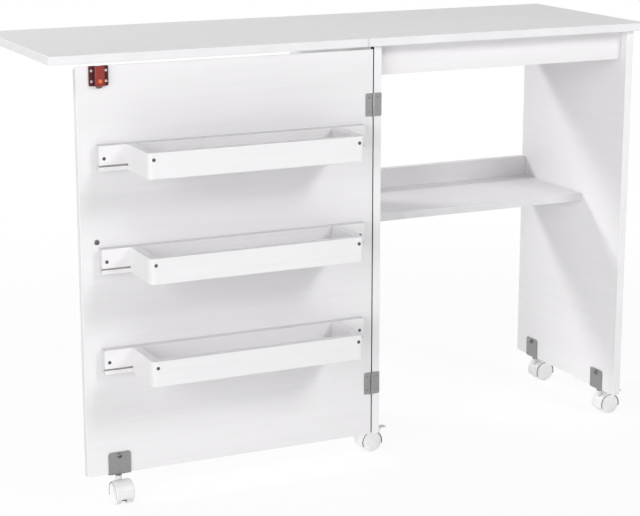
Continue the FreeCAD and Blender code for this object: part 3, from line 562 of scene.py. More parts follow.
def merged(node: str) -> bmesh.types.BMesh:
    """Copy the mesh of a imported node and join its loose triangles.

    Args:
        node: Name of the node.

    Returns:
        The copy, to be worked on.
    """
    bm = bmesh.new()
    bm.from_mesh(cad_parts[node].data)
    bmesh.ops.remove_doubles(bm, verts=bm.verts, dist=MERGE_DISTANCE)
    return bm


def eased_copy(node: str, name: str, body: str, finish: Finish, ease: float) -> None:
    """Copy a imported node, merge its faces and round its edges.

    Args:
        node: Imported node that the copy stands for.
        name: Name of the piece.
        body: Body that it rides on.
        finish: Finish that it wears.
        ease: Rounding in millimetres.
    """
    bm = merged(node)
    bmesh.ops.dissolve_limit(bm, angle_limit=FLAT_ANGLE, verts=bm.verts, edges=bm.edges)
    mounted(stored(bm, name), body, [finish], [node], ease)


class Form:
    """Closed shapes drawn in millimetres and kept together as one piece."""

    def __init__(self, finish: Finish) -> None:
        """Start empty.

        Args:
            finish: Finish of the first shapes.
        """
        self.bm = bmesh.new()
        self.finishes = [finish]
        self.worn = 0

    def wear(self, finish: Finish) -> None:
        """Give the shapes drawn from here on another finish.

        Args:
            finish: Finish that they wear.
        """
        if finish not in self.finishes:
            self.finishes.append(finish)
        self.worn = self.finishes.index(finish)

    def face(self, corners: Sequence[bmesh.types.BMVert]) -> None:
        """Add one face in the finish that is being worn."""
        self.bm.faces.new(corners).material_index = self.worn

    def loft(self, rings: Sequence[Sequence[Vector]], skins: Sequence[Finish] = ()) -> None:
        """Join rings of points into a tube and close both of its ends.

        Args:
            rings: Rings with the same number of points, in order along the tube.
            skins: Finish of each side of the tube, where they differ.
        """
        rows = [[self.bm.verts.new(point) for point in ring] for ring in rings]
        for low, high in zip(rows, rows[1:]):
            self.band(low, high, skins)
        if skins:
            self.wear(skins[0])
        self.face(rows[0][::-1])
        self.face(rows[-1])

    def band(self, low: Sequence[bmesh.types.BMVert], high: Sequence[bmesh.types.BMVert],
             skins: Sequence[Finish] = ()) -> None:
        """Join two closed rows of vertices with a band of faces.

        Args:
            low: First row.
            high: Second row.
            skins: Finish of each face, where they differ.
        """
        for i, j in zip(range(len(low)), [*range(1, len(low)), 0]):
            if skins:
                self.wear(skins[i])
            self.face((low[i], low[j], high[j], high[i]))

    def prism(self, outline: Sequence[Flat], low: float, high: float, place: Matrix) -> None:
        """Raise a flat outline between two heights.

        Args:
            outline: Corners in the local XY plane.
            low: Height of the lower end.
            high: Height of the upper end.
            place: Where the local frame stands.
        """
        self.loft([[place @ Vector((x, y, z)) for x, y in outline] for z in (low, high)])

    def lathe(self, profile: Sequence[Flat], place: Matrix, steps: int,
              shape: Callable[[Vector], Vector] = Vector) -> None:
        """Turn a profile about the local Z axis.

        Args:
            profile: Radius and height of its points; the first and last lie on the axis.
            place: Where the local frame stands.
            steps: Number of faces round the axis.
            shape: Change made to each point before it is placed.
        """
        turns = [math.tau * i / steps for i in range(steps)]
        rows = []
        for radius, height in profile[1:-1]:
            ring = [Vector((radius * math.cos(t), radius * math.sin(t), height)) for t in turns]
            rows.append([self.bm.verts.new(place @ shape(point)) for point in ring])
        for low, high in zip(rows, rows[1:]):
            self.band(low, high)
        for row, (_, height) in ((rows[0], profile[0]), (rows[-1], profile[-1])):
            pole = self.bm.verts.new(place @ shape(Vector((0.0, 0.0, height))))
            for first, second in zip(row, row[1:] + row[:1]):
                self.face((pole, first, second))

    def mesh(self, name: str) -> bpy.types.Mesh:
        """Turn the shapes into a mesh in metres, facing outwards.

        Args:
            name: Name of the mesh.

        Returns:
            The mesh.
        """
        bmesh.ops.recalc_face_normals(self.bm, faces=self.bm.faces)
        bmesh.ops.scale(self.bm, vec=even(MM), verts=self.bm.verts)
        return stored(self.bm, name)

    def piece(self, name: str, body: str, replaced: Sequence[str] = (),
              ease: float = 0.0) -> bpy.types.Object:
        """Turn the shapes into one piece of the table.

        Args:
            name: Name of the piece.
            body: Body that it rides on.
            replaced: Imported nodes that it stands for.
            ease: Rounding of its sharp edges in millimetres.

        Returns:
            The piece.
        """
        return mounted(self.mesh(name), body, self.finishes, replaced, ease)


@dataclass
class Boards:
    """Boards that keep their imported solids, with a face finish and an edge finish."""

    names: tuple[str, ...]
    thin: Axis
    face: Finish = BOARD_FACE
    edge: Finish = BOARD_EDGE
    ends: Finish | None = None
    core: Finish | None = None
    core_depth: float = 0.3
    facing_share: float = 0.9

    def dress(self) -> None:
        """Give the broad faces, the edges, the side ends and the grooves of each board their finishes."""
        finishes = [finish for finish in (self.face, self.edge, self.ends, self.core) if finish]
        for name in self.names:
            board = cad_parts[name]
            dressed(board, finishes)
            box = node_box(name)
            for polygon in board.data.polygons:
                polygon.material_index = finishes.index(self.finish_of(polygon, box))
            LOG.info("%s dressed in %s", name, self.face.name)

    def finish_of(self, polygon: bpy.types.MeshPolygon, box: Box) -> Finish:
        """Choose the finish of a face by where it lies and which way it looks.

        Args:
            polygon: Face of the board.
            box: Lowest and highest corner of the board, in millimetres.

        Returns:
            The finish.
        """
        middle, deep = polygon.center / MM, self.core_depth
        if self.core and all(low + deep < value < high - deep for value, low, high in zip(middle, *box)):
            return self.core
        if abs(polygon.normal[self.thin.value]) > self.facing_share:
            return self.face
        return self.ends if self.ends and abs(polygon.normal.x) > self.facing_share else self.edge


@dataclass
class PlainNodes:
    """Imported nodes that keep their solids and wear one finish."""

    names: tuple[str, ...]
    finish: Finish

    def dress(self) -> None:
        """Give each node the finish."""
        for name in self.names:
            dressed(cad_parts[name], [self.finish])
            LOG.info("%s dressed in %s", name, self.finish.name)


class GrowthTree(NodeGraph):
    """Geometry node tree that sets one made shape on every point of a mesh."""

    def __init__(self, name: str, sizes: dict[str, float]) -> None:
        """Start a tree with named inputs for its sizes.

        Args:
            name: Name of the tree.
            sizes: Value of each size in millimetres, by name.
        """
        super().__init__(bpy.data.node_groups.new(name, "GeometryNodeTree"))
        self.settings: dict[str, object] = {}
        self.tree.interface.new_socket("Points", in_out="INPUT", socket_type="NodeSocketGeometry")
        for key, value in sizes.items():
            self.offer(key, "NodeSocketFloat", value * MM)
        self.tree.interface.new_socket("Shapes", in_out="OUTPUT", socket_type="NodeSocketGeometry")
        self.inputs = self.node("NodeGroupInput")

    def offer(self, key: str, kind: str, value: object) -> None:
        """Add a named input and keep the value that its modifier gets."""
        socket = self.tree.interface.new_socket(key, in_out="INPUT", socket_type=kind)
        self.settings[socket.identifier] = value

    def size(self, key: str) -> Socket:
        """Socket of a named input."""
        return self.inputs.outputs[key]

    def vector(self, x: Value, y: Value, z: Value) -> Socket:
        """Vector of three values."""
        return self.made("ShaderNodeCombineXYZ", {"X": x, "Y": y, "Z": z})

    def moved(self, shape: Socket, **changes: Value) -> Socket:
        """Shape after a Translation, Rotation or Scale."""
        return self.made("GeometryNodeTransform", {"Geometry": shape, **changes}, "Geometry")

    def bar(self, radius: Socket, length: Socket, sides: int) -> Socket:
        """Round bar about the Z axis, centred on the origin."""
        sizes = {"Vertices": sides, "Radius": radius, "Depth": length}
        return self.made("GeometryNodeMeshCylinder", sizes, "Mesh")

    def combined(self, operation: str, first: Socket, others: Sequence[Socket]) -> Socket:
        """Join shapes into one solid, or cut some away from another.

        Args:
            operation: Name of the operation.
            first: Shape that is kept when others are cut away.
            others: Shapes that are joined to it or cut from it.

        Returns:
            Socket with the solid.
        """
        solid = self.node("GeometryNodeMeshBoolean", operation=operation, solver="EXACT")
        self.feed(solid.inputs["Mesh 1" if operation == "DIFFERENCE" else "Mesh 2"], first)
        for other in others:
            self.feed(solid.inputs["Mesh 2"], other)
        return solid.outputs["Mesh"]

    def shank(self, start: Socket) -> Socket:
        """Shank of a screw from a depth below its face to its tip.

        Args:
            start: Depth at which the shank starts.

        Returns:
            Socket with the shank, from the inputs Shank Radius and Length.
        """
        span = self.math("SUBTRACT", self.size("Length"), start)
        middle = self.math("MULTIPLY", self.math("ADD", self.size("Length"), start), -0.5)
        bar = self.bar(self.size("Shank Radius"), span, SHANK_SIDES)
        return self.moved(bar, Translation=self.vector(0.0, 0.0, middle))

    def crossed(self, screw: Socket) -> Socket:
        """Cut a cross recess into the head of a screw.

        Args:
            screw: Screw with its head at the origin.

        Returns:
            Socket with the cut screw, from the inputs Recess Length, Recess Width and Recess Depth.
        """
        deep = self.math("MULTIPLY", self.size("Recess Depth"), 2.0)
        sides = self.size("Recess Length"), self.size("Recess Width")
        bits = [self.made("GeometryNodeMeshCube", {"Size": self.vector(x, y, deep)}, "Mesh")
                for x, y in (sides, sides[::-1])]
        return self.combined("DIFFERENCE", screw, bits)

    def spun(self, most: float) -> Socket:
        """Chance turn about the Z axis, seeded by the input Seed.

        Args:
            most: Largest turn in radians.

        Returns:
            Socket with the turn.
        """
        chance = self.node("FunctionNodeRandomValue", data_type="FLOAT")
        for socket in chance.inputs:
            if socket.enabled and socket.name in ("Min", "Max"):
                socket.default_value = most if socket.name == "Max" else 0.0
        self.feed(chance.inputs["Seed"], self.size("Seed"))
        angle = next(socket for socket in chance.outputs if socket.enabled)
        about = {"Axis": (0.0, 0.0, 1.0), "Angle": angle}
        return self.made("FunctionNodeAxisAngleToRotation", about, "Rotation")

    def spread(self, shape: Socket, finish: Finish, most: float) -> None:
        """Set the shape on every point, facing its direction, and end the tree.

        Args:
            shape: Shape that is repeated.
            finish: Finish that it wears.
            most: Largest turn of a shape about its own axis, in radians.
        """
        self.offer("Seed", "NodeSocketInt", SPIN_SEED)
        self.offer("Finish", "NodeSocketMaterial", finish.material())
        facing = self.made("GeometryNodeInputNamedAttribute", {"Name": "facing"}, "Attribute",
                           data_type="FLOAT_VECTOR")
        aligned = self.made("FunctionNodeAlignRotationToVector", {"Vector": facing}, "Rotation", axis="Z")
        turned = self.made("FunctionNodeRotateRotation", {"Rotation": aligned, "Rotate By": self.spun(most)},
                           "Rotation", rotation_space="LOCAL")
        repeats = {"Points": self.size("Points"), "Instance": shape, "Rotation": turned}
        repeated = self.made("GeometryNodeInstanceOnPoints", repeats, "Instances")
        real = self.made("GeometryNodeRealizeInstances", {"Geometry": repeated}, "Geometry")
        skin = {"Geometry": real, "Material": self.size("Finish")}
        worn = self.made("GeometryNodeSetMaterial", skin, "Geometry")
        self.feed(self.node("NodeGroupOutput").inputs["Shapes"], worn)


@dataclass
class GripRibs:
    """Low round ribs across a brake pedal."""

    finish: Finish
    rib_radius: float = 0.45
    rib_length: float = 8.6
    sides: int = 14

    def tree(self) -> GrowthTree:
        """Make the tree that lays a rib across each point.

        Returns:
            The tree.
        """
        growth = GrowthTree("grip_ribs", {"Rib Radius": self.rib_radius, "Rib Length": self.rib_length})
        bar = growth.bar(growth.size("Rib Radius"), growth.size("Rib Length"), self.sides)
        growth.spread(growth.moved(bar, Rotation=(math.radians(90.0), 0.0, 0.0)), self.finish, 0.0)
        return growth


@dataclass
class CountersunkScrew:
    """Countersunk screw with a cross recess, its face level with the board."""

    finish: Finish
    head_radius: float
    shank_radius: float
    length: float
    head_sides: int = 28
    shank_start: float = 0.6
    recess_shares: Scale = (1.15, 0.26, 0.7)

    def tree(self) -> GrowthTree:
        """Make the tree that drives a screw in at each point.

        Returns:
            The tree.
        """
        across, wide, deep = (self.head_radius * share for share in self.recess_shares)
        sizes = {"Head Radius": self.head_radius, "Shank Radius": self.shank_radius, "Length": self.length,
                 "Recess Length": across, "Recess Width": wide, "Recess Depth": deep}
        growth = GrowthTree("countersunk_screws", sizes)
        head, shank = growth.size("Head Radius"), growth.size("Shank Radius")
        depth = growth.math("SUBTRACT", head, shank)
        taper = {"Vertices": self.head_sides, "Radius Top": head, "Radius Bottom": shank, "Depth": depth}
        cone = growth.made("GeometryNodeMeshCone", taper, "Mesh")
        down = growth.math("MULTIPLY", depth, -1.0)
        sunk = growth.moved(cone, Translation=growth.vector(0.0, 0.0, down))
        start = growth.math("MULTIPLY", depth, self.shank_start)
        screw = growth.combined("UNION", sunk, [growth.shank(start)])
        growth.spread(growth.crossed(screw), self.finish, math.tau)
        return growth


@dataclass
class RoundHeadBolt:
    """Bolt with a round head that stands on what it holds."""

    finish: Finish
    head_radius: float
    head_height: float
    shank_radius: float
    length: float
    ball_segments: int = 32
    ball_rings: int = 20
    recess_shares: Flat = (1.0, 0.24)
    recess_depth: float = 0.5

    def tree(self) -> GrowthTree:
        """Make the tree that sets a bolt at each point.

        Returns:
            The tree.
        """
        across, wide = (self.head_radius * share for share in self.recess_shares)
        sizes = {"Head Radius": self.head_radius, "Head Height": self.head_height,
                 "Shank Radius": self.shank_radius, "Length": self.length, "Recess Length": across,
                 "Recess Width": wide, "Recess Depth": self.head_height * self.recess_depth}
        growth = GrowthTree("round_head_bolts", sizes)
        radius, height = growth.size("Head Radius"), growth.size("Head Height")
        mesh_sizes = {"Segments": self.ball_segments, "Rings": self.ball_rings, "Radius": radius}
        ball = growth.made("GeometryNodeMeshUVSphere", mesh_sizes, "Mesh")
        flat = growth.math("DIVIDE", height, radius)
        down = growth.math("MULTIPLY", height, -1.0)
        dome = growth.moved(ball, Scale=growth.vector(1.0, 1.0, flat),
                            Translation=growth.vector(0.0, 0.0, down))
        bolt = growth.combined("UNION", dome, [growth.shank(height)])
        growth.spread(growth.crossed(bolt), self.finish, math.tau)
        return growth


def grown(maker: GripRibs | CountersunkScrew | RoundHeadBolt, places: Sequence[tuple[Vector, Vector]],
          name: str, body: str, replaced: Sequence[str] = ()) -> None:
    """Repeat a made shape at some places, as one plain mesh.

    Args:
        maker: Maker of the tree.
        places: Point in millimetres and direction that the shape faces, for each place.
        name: Name of the piece.
        body: Body that it rides on.
        replaced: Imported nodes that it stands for.
    """
    points = bpy.data.meshes.new(f"{name}_points")
    points.from_pydata([point * MM for point, _ in places], [], [])
    facing = points.attributes.new("facing", "FLOAT_VECTOR", "POINT")
    facing.data.foreach_set("vector", [part for _, way in places for part in way])
    host = placed(points.name, points)
    growth = maker.tree()
    modifier = host.modifiers.new("growth", "NODES")
    modifier.node_group = growth.tree
    for key, value in growth.settings.items():
        modifier[key] = value
    mesh = applied(host, name)
    bpy.data.objects.remove(host)
    mounted(mesh, body, [maker.finish], replaced)


class ScrewKind(Enum):
    """Kinds of screw by the radius of the head and of the shank in millimetres."""

    BOARD = (3.2, 2.0)
    FITTING = (2.7, 1.4)
    LOCK = (2.1, 1.2)
    ROUND_HEAD = (4.75, 2.5)

    def __init__(self, head: float, shank: float) -> None:
        """Keep both radii by name."""
        self.head = head
        self.shank = shank


@dataclass(frozen=True)
class ScrewPlace:
    """Where a packed screw stands."""

    kind: ScrewKind
    face: Vector
    facing: Vector
    length: float


def points_box(points: Sequence[Vector]) -> Box:
    """Lowest and highest corner of some points."""
    return Vector(map(min, zip(*points))), Vector(map(max, zip(*points)))


def islands(node: str) -> list[list[Vector]]:
    """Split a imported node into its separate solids.

    Args:
        node: Name of the node.

    Returns:
        Points of each solid in millimetres.
    """
    bm = merged(node)
    left, found = set(bm.verts), []
    while left:
        reached, waiting = set(), [left.pop()]
        while waiting:
            vert = waiting.pop()
            reached.add(vert)
            near = {edge.other_vert(vert) for edge in vert.link_edges} & left
            left -= near
            waiting.extend(near)
        found.append([vert.co / MM for vert in reached])
    bm.free()
    return sorted(found, key=lambda points: tuple(round(part, 2) for part in points_box(points)[0]))


def screw_place(points: Sequence[Vector], end_depth: float = 0.05) -> ScrewPlace:
    """Find the head, direction and length of one packed screw.

    Args:
        points: Points of its solid in millimetres.
        end_depth: Depth from an end within which a point counts to that end.

    Returns:
        The place of the screw.
    """
    low, high = points_box(points)
    span, middle = high - low, (low + high) / 2
    axis = max(range(3), key=lambda i: span[i])
    others = [i for i in range(3) if i != axis]
    reach = {end: max(math.dist([point[i] for i in others], [middle[i] for i in others])
                      for point in points if abs(point[axis] - end) < end_depth)
             for end in (low[axis], high[axis])}
    head = max(reach, key=reach.get)
    face, facing = middle.copy(), Vector()
    face[axis] = head
    facing[axis] = math.copysign(1.0, head - middle[axis])
    radius = max(span[i] for i in others) / 2
    kind = min(ScrewKind, key=lambda option: abs(option.head - radius))
    return ScrewPlace(kind, face, facing, span[axis])


@dataclass(frozen=True)
class ScrewGroup:
    """Screws of one kind in a node that share a finish, and how far their heads stand proud."""

    name: str
    kind: ScrewKind
    finish: Finish
    proud: float = 0.0


@dataclass
class ScrewSet:
    """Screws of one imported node, in groups."""

    node: str
    body: str
    groups: tuple[ScrewGroup, ...]
    round_height: float = 3.5

    def maker(self, place: ScrewPlace, finish: Finish) -> CountersunkScrew | RoundHeadBolt:
        """Choose the maker of a screw like the one at a place.

        Args:
            place: One of the screws.
            finish: Finish that they wear.

        Returns:
            The maker.
        """
        kind = place.kind
        if kind is ScrewKind.ROUND_HEAD:
            return RoundHeadBolt(finish, kind.head, self.round_height, kind.shank, place.length)
        return CountersunkScrew(finish, kind.head, kind.shank, place.length)

    def build(self) -> None:
        """Build each group of screws as one piece."""
        places = [screw_place(points) for points in islands(self.node)]
        for group in self.groups:
            chosen = [place for place in places if place.kind is group.kind]
            spots = [(place.face + place.facing * group.proud, place.facing) for place in chosen]
            grown(self.maker(chosen[0], group.finish), spots, group.name, self.body, [self.node])


class HoldsTo(Enum):
    """Turn in degrees of a caster bracket about its stem, by the face that its leg lies on."""

    LEFT_PANEL = 90.0
    RIGHT_PANEL = -90.0
    DOOR = 0.0


@dataclass
class CasterBracket:
    """Angle bracket bent from sheet, one leg on the board and one under it."""

    stem: Vector
    holds_to: HoldsTo
    width: float = 41.0
    sheet: float = 2.0
    board: float = 15.0
    low: float = 51.0
    high: float = 93.0
    reach: float = 6.5
    bend: float = 2.0
    corner: float = 5.0
    arc_steps: int = 6
    plate_trims: tuple[Flat, ...] = ((1.2, 0.0), (0.4, 0.4), (0.0, 1.2))

    def path(self) -> list[tuple[Vector, Vector, float]]:
        """Follow the middle of the sheet from the top of the leg to the end of the plate.

        Returns:
            Point and normal in the YZ plane, and half width, for each row.
        """
        y = -self.board / 2 - self.sheet / 2
        z = self.low + self.sheet / 2
        half = self.width / 2
        rows = []
        for rise, across in arc((0.0, 0.0), self.corner, 0.0, 90.0, self.arc_steps):
            top = Vector((y, self.high - self.corner + rise))
            rows.append((top, Vector((1.0, 0.0)), half - self.corner + across))
        centre = (y + self.bend, z + self.bend)
        for point in arc(centre, self.bend, 180.0, 270.0, self.arc_steps):
            inward = Vector((centre[0] - point[0], centre[1] - point[1])).normalized()
            rows.append((Vector(point), inward, half))
        for back, cut in self.plate_trims:
            rows.append((Vector((self.reach - back, z)), Vector((0.0, 1.0)), half - cut))
        return rows

    def draw(self, form: Form) -> None:
        """Add the bent sheet to a form.

        Args:
            form: Form that takes the shape.
        """
        place = Matrix.Translation(self.stem) @ turn(self.holds_to.value, "Z")
        rings = []
        for point, normal, half in self.path():
            inner = point + normal * self.sheet / 2
            outer = point - normal * self.sheet / 2
            corners = ((-half, outer), (half, outer), (half, inner), (-half, inner))
            rings.append([place @ Vector((x, *side)) for x, side in corners])
        form.loft(rings)


@dataclass
class Caster:
    """Swivel caster with two wheels under a hood and, on the front ones, a brake lever."""

    name: str
    heading: float
    braked: bool = False
    trail: float = 16.0
    wheel_radius: float = 20.0
    wheel_inner: float = 5.1
    wheel_outer: float = 17.1
    tread_round: float = 2.0
    tread_end: float = 10.0
    tread_steps: int = 5
    dome_radius: float = 17.5
    dome_height: float = 1.6
    dome_steps: int = 9
    dome_groove: Flat = (0.3, 0.25)
    bore_radius: float = 3.05
    bore_end: float = 13.1
    wheel_sides: int = 72
    hood_radius: float = 23.0
    hood_wall: float = 1.6
    hood_shoulder: Flat = (3.6, 2.2)
    shoulder_steps: int = 8
    hood_start: float = -15.0
    hood_end: float = 205.0
    hood_steps: int = 44
    hood_ease: float = 0.3
    web: float = 9.0
    web_inset: float = 1.0
    boss_radius: float = 16.0
    boss_inset: float = 4.0
    boss_steps: int = 26
    neck_radius: float = 6.25
    neck_root: float = 14.0
    neck_top: float = 27.2
    neck_sides: int = 40
    lever_angle: float = 45.0
    lever_gap: float = 0.8
    lever_tilt: float = 8.0
    lever_length: float = 18.9
    lever_width: float = 13.0
    lever_sheet: float = 2.4
    lever_arch: float = 1.7
    tip_droop: float = 0.9
    droop_start: float = 0.6
    tip_start: float = 0.62
    tip_narrowing: float = 0.86
    tip_thinning: float = 0.8
    barrel_radius: float = 2.2
    pin_radius: float = 1.3
    bar_edge: float = 0.3
    bar_sides: int = 24
    ear: float = 2.0
    ear_radius: float = 2.8
    ear_foot: float = 1.0
    ear_gap: float = 0.3
    ear_steps: int = 14
    rib_shares: tuple[float, ...] = (0.5, 0.59, 0.68, 0.77)
    rib_seat: float = 0.48

    def place(self) -> Matrix:
        """Frame of the caster at the middle of its axle, trailing along its X axis."""
        low, high = node_box(f"{self.name}_caster_axle")
        return Matrix.Translation((low + high) / 2) @ turn(self.heading, "Z")

    def side_frame(self) -> Matrix:
        """Frame at the middle of the axle whose XY plane is the upright plane of the wheels."""
        return self.place() @ turn(90.0, "X")

    def stem(self) -> Vector:
        """Foot of the stem axis on the floor, in millimetres."""
        point = self.place() @ Vector((-self.trail, 0.0, 0.0))
        return Vector((point.x, point.y, 0.0))

    def lever_root(self) -> Vector:
        """Find the pivot of the brake lever.

        Returns:
            Its place from the middle of the axle.
        """
        reach = self.hood_radius + self.lever_gap + self.barrel_radius
        angle = math.radians(self.lever_angle)
        return Vector((reach * math.cos(angle), 0.0, reach * math.sin(angle)))

    def hood_section(self) -> tuple[list[Flat], list[Finish]]:
        """Cross-section of the hood, crowned over the treads, with near-black painted shade on its rims and
        inside.

        Returns:
            Place along the axle and radius of each point, and the finish of each side.
        """
        wide, deep = self.hood_shoulder
        crest = self.wheel_outer - wide
        outer = [(crest + wide * y, self.hood_radius - deep + deep * r)
                 for r, y in arc((0.0, 0.0), 1.0, 0.0, 90.0, self.shoulder_steps)]
        inner = [(y, r - self.hood_wall) for y, r in reversed(outer)]
        right = outer + inner
        skins = [CASTER_WHITE] * (len(outer) - 1) + [CASTER_GAP_SHADE] * (2 * len(inner) + 1)
        skins += [CASTER_WHITE] * len(outer)
        return right + [(-y, r) for y, r in reversed(right)], skins

    def draw_hood(self, form: Form) -> None:
        """Add the curved hood and its middle web to a form.

        Args:
            form: Form that takes the shapes.
        """
        place = self.place()
        section, skins = self.hood_section()
        start, end, steps = self.hood_start, self.hood_end, self.hood_steps
        rings = [[place @ Vector((r * x, y, r * z)) for y, r in section]
                 for x, z in arc((0.0, 0.0), 1.0, start, end, steps)]
        form.loft(rings, skins)
        # The web between the wheels is near-black as painted shade.
        form.wear(CASTER_GAP_SHADE)
        rim = self.hood_radius - self.hood_wall / 2
        outline = arc((0.0, 0.0), rim, start + self.web_inset, end - self.web_inset, steps)
        outline += arc((0.0, 0.0), self.boss_radius, end + self.boss_inset, start + 360.0 - self.boss_inset,
                       self.boss_steps)
        form.prism(outline, -self.web / 2, self.web / 2, self.side_frame())
        form.wear(CASTER_WHITE)

    def draw_neck(self, form: Form) -> None:
        """Add the round neck between the hood and the nut to a form.

        Args:
            form: Form that takes the shape.
        """
        clear = self.hood_radius - self.hood_wall / 2

        def outside_wheels(point: Vector) -> Vector:
            """Lift a point out of the space of the wheels.

            Args:
                point: Point of the neck.

            Returns:
                The point, at least as far from the axle as the hood.
            """
            flat = Vector((point.x - self.trail, point.z))
            if flat.length < clear:
                flat = flat.normalized() * clear
            return Vector((flat.x + self.trail, point.y, flat.y))

        r, root, top = self.neck_radius, self.neck_root, self.neck_top
        profile = [(0.0, root), (r * 0.5, root + 0.4), (r * 0.86, root + 2.0), (r, root + 4.5),
                   (r, top - 1.2), (r - 0.35, top - 0.35), (r - 1.2, top), (0.0, top)]
        stem_frame = self.place() @ Matrix.Translation((-self.trail, 0.0, 0.0))
        form.lathe(profile, stem_frame, self.neck_sides, outside_wheels)

    def draw_ears(self, form: Form) -> None:
        """Add the two ears that carry the brake lever to a form.

        Args:
            form: Form that takes the shapes.
        """
        pivot = self.lever_root().xz
        angle = math.radians(self.lever_angle)
        away = Vector((math.cos(angle), math.sin(angle)))
        foot = pivot - away * (self.lever_gap + self.barrel_radius + self.hood_wall / 2)
        across = Vector((-away.y, away.x)) * (self.ear_radius + self.ear_foot)
        first, last = self.lever_angle - 90.0, self.lever_angle + 90.0
        outline = arc(tuple(pivot), self.ear_radius, first, last, self.ear_steps)
        outline += [tuple(foot + across), tuple(foot - across)]
        near = self.lever_width / 2 + self.ear_gap
        for low, high in ((near, near + self.ear), (-near - self.ear, -near)):
            form.prism(outline, low, high, self.side_frame())

    def build_hood(self) -> None:
        """Build the hood, its web, its neck and the ears of a brake."""
        form = Form(CASTER_WHITE)
        self.draw_hood(form)
        self.draw_neck(form)
        if self.braked:
            self.draw_ears(form)
        form.piece(f"{self.name}_hood_shell", f"{self.name}_swivel", [f"{self.name}_caster_hood"],
                   self.hood_ease)

    def wheel_profile(self) -> list[Flat]:
        """Profile of one wheel from its blind bore over the tread to its domed face.

        Returns:
            Radius and place along the axle of each point.
        """
        r, inner, outer, round_ = self.wheel_radius, self.wheel_inner, self.wheel_outer, self.tread_round
        points = [(0.0, self.bore_end), (self.bore_radius, self.bore_end), (self.bore_radius, inner)]
        for x, start, end in ((inner + round_, 180.0, 90.0), (outer - round_, 90.0, self.tread_end)):
            points += [(b, a) for a, b in arc((x, r - round_), round_, start, end, self.tread_steps)]
        rim, (groove_width, groove_depth) = self.dome_radius, self.dome_groove
        points.append((rim + groove_width, outer - groove_depth))
        sphere = (rim ** 2 + self.dome_height ** 2) / (2 * self.dome_height)
        for step in range(self.dome_steps):
            radius = rim * (1.0 - step / self.dome_steps)
            rise = math.sqrt(sphere ** 2 - radius ** 2) - (sphere - self.dome_height)
            points.append((radius, outer + rise))
        return points + [(0.0, outer + self.dome_height)]

    def build_wheels(self) -> None:
        """Build the pair of wheels with domed faces and rounded treads."""
        form = Form(CASTER_WHITE)
        axle_frame = self.place() @ turn(-90.0, "X")
        for flip in (0.0, 180.0):
            form.lathe(self.wheel_profile(), axle_frame @ turn(flip, "X"), self.wheel_sides)
        form.piece(f"{self.name}_wheel_pair", f"{self.name}_wheels", [f"{self.name}_caster_wheels"])

    def lever_height(self, share: float) -> float:
        """Rise of the arched brake pedal above its pivot.

        Args:
            share: Share of the pedal's length from its pivot.

        Returns:
            The rise of its middle line in millimetres.
        """
        slope = self.lever_length * share * math.sin(math.radians(self.lever_tilt))
        beyond = max(0.0, share - self.droop_start) / (1.0 - self.droop_start)
        return slope + self.lever_arch * math.sin(math.pi * share) - self.tip_droop * beyond ** 2

    def lever_line(self, share: float, step: float = 0.01) -> tuple[Vector, Vector]:
        """Follow the arched middle line of the brake pedal.

        Args:
            share: Share of the pedal's length from its pivot.
            step: Share on each side over which the slope is taken.

        Returns:
            Point and upward normal in the XZ plane of the caster.
        """
        run = self.lever_length * math.cos(math.radians(self.lever_tilt))
        rise = (self.lever_height(share + step) - self.lever_height(share - step)) / (2 * step * run)
        root = self.lever_root()
        point = Vector((root.x + run * share, 0.0, root.z + self.lever_height(share)))
        return point, Vector((-rise, 0.0, 1.0)).normalized()

    def draw_pedal(self, form: Form) -> None:
        """Add the tongue-shaped pedal to a form.

        Args:
            form: Form that takes the shape.
        """
        place = self.place()
        section = ((-1.0, -0.55), (-0.86, -1.0), (0.86, -1.0), (1.0, -0.55), (1.0, 0.4), (0.8, 0.92),
                   (0.4, 1.0), (-0.4, 1.0), (-0.8, 0.92), (-1.0, 0.4))
        stations = (0.0, 0.12, 0.25, 0.38, 0.5, 0.62, 0.72, 0.8, 0.87, 0.93, 0.97, 0.99, 1.0)
        rings = []
        for share in stations:
            point, normal = self.lever_line(share)
            beyond = max(0.0, (share - self.tip_start) / (1.0 - self.tip_start))
            half = self.lever_width / 2 * math.sqrt(1.0 - self.tip_narrowing * beyond ** 2)
            thick = self.lever_sheet / 2 * math.sqrt(1.0 - self.tip_thinning * beyond ** 6)
            rings.append([place @ (point + Vector((0.0, x * half, 0.0)) + normal * y * thick)
                          for x, y in section])
        form.loft(rings)

    def build_lever(self) -> None:
        """Build the brake lever with its barrel and its pin."""
        form = Form(CASTER_WHITE)
        self.draw_pedal(form)
        across = self.place() @ Matrix.Translation(self.lever_root()) @ turn(90.0, "X")
        wide, edge = self.lever_width / 2, self.bar_edge
        for r, half in ((self.barrel_radius, wide), (self.pin_radius, wide + self.ear_gap + self.ear)):
            profile = [(0.0, -half), (r - edge, -half), (r, -half + edge), (r, half - edge), (r - edge, half),
                       (0.0, half)]
            form.lathe(profile, across, self.bar_sides)
        form.piece(f"{self.name}_brake_pedal", f"{self.name}_brake", [f"{self.name}_brake_lever"])

    def build_ribs(self) -> None:
        """Build the grip ribs on the pedal."""
        place = self.place()
        places = []
        for share in self.rib_shares:
            point, normal = self.lever_line(share)
            seat = point + normal * self.lever_sheet * self.rib_seat
            places.append((place @ seat, place.to_3x3() @ normal))
        grown(GripRibs(CASTER_WHITE), places, f"{self.name}_brake_ribs", f"{self.name}_brake")

    def build(self) -> None:
        """Build every visible piece of the caster and dress its axle."""
        self.build_hood()
        self.build_wheels()
        if self.braked:
            self.build_lever()
            self.build_ribs()
        PlainNodes((f"{self.name}_caster_axle",), ZINC).dress()


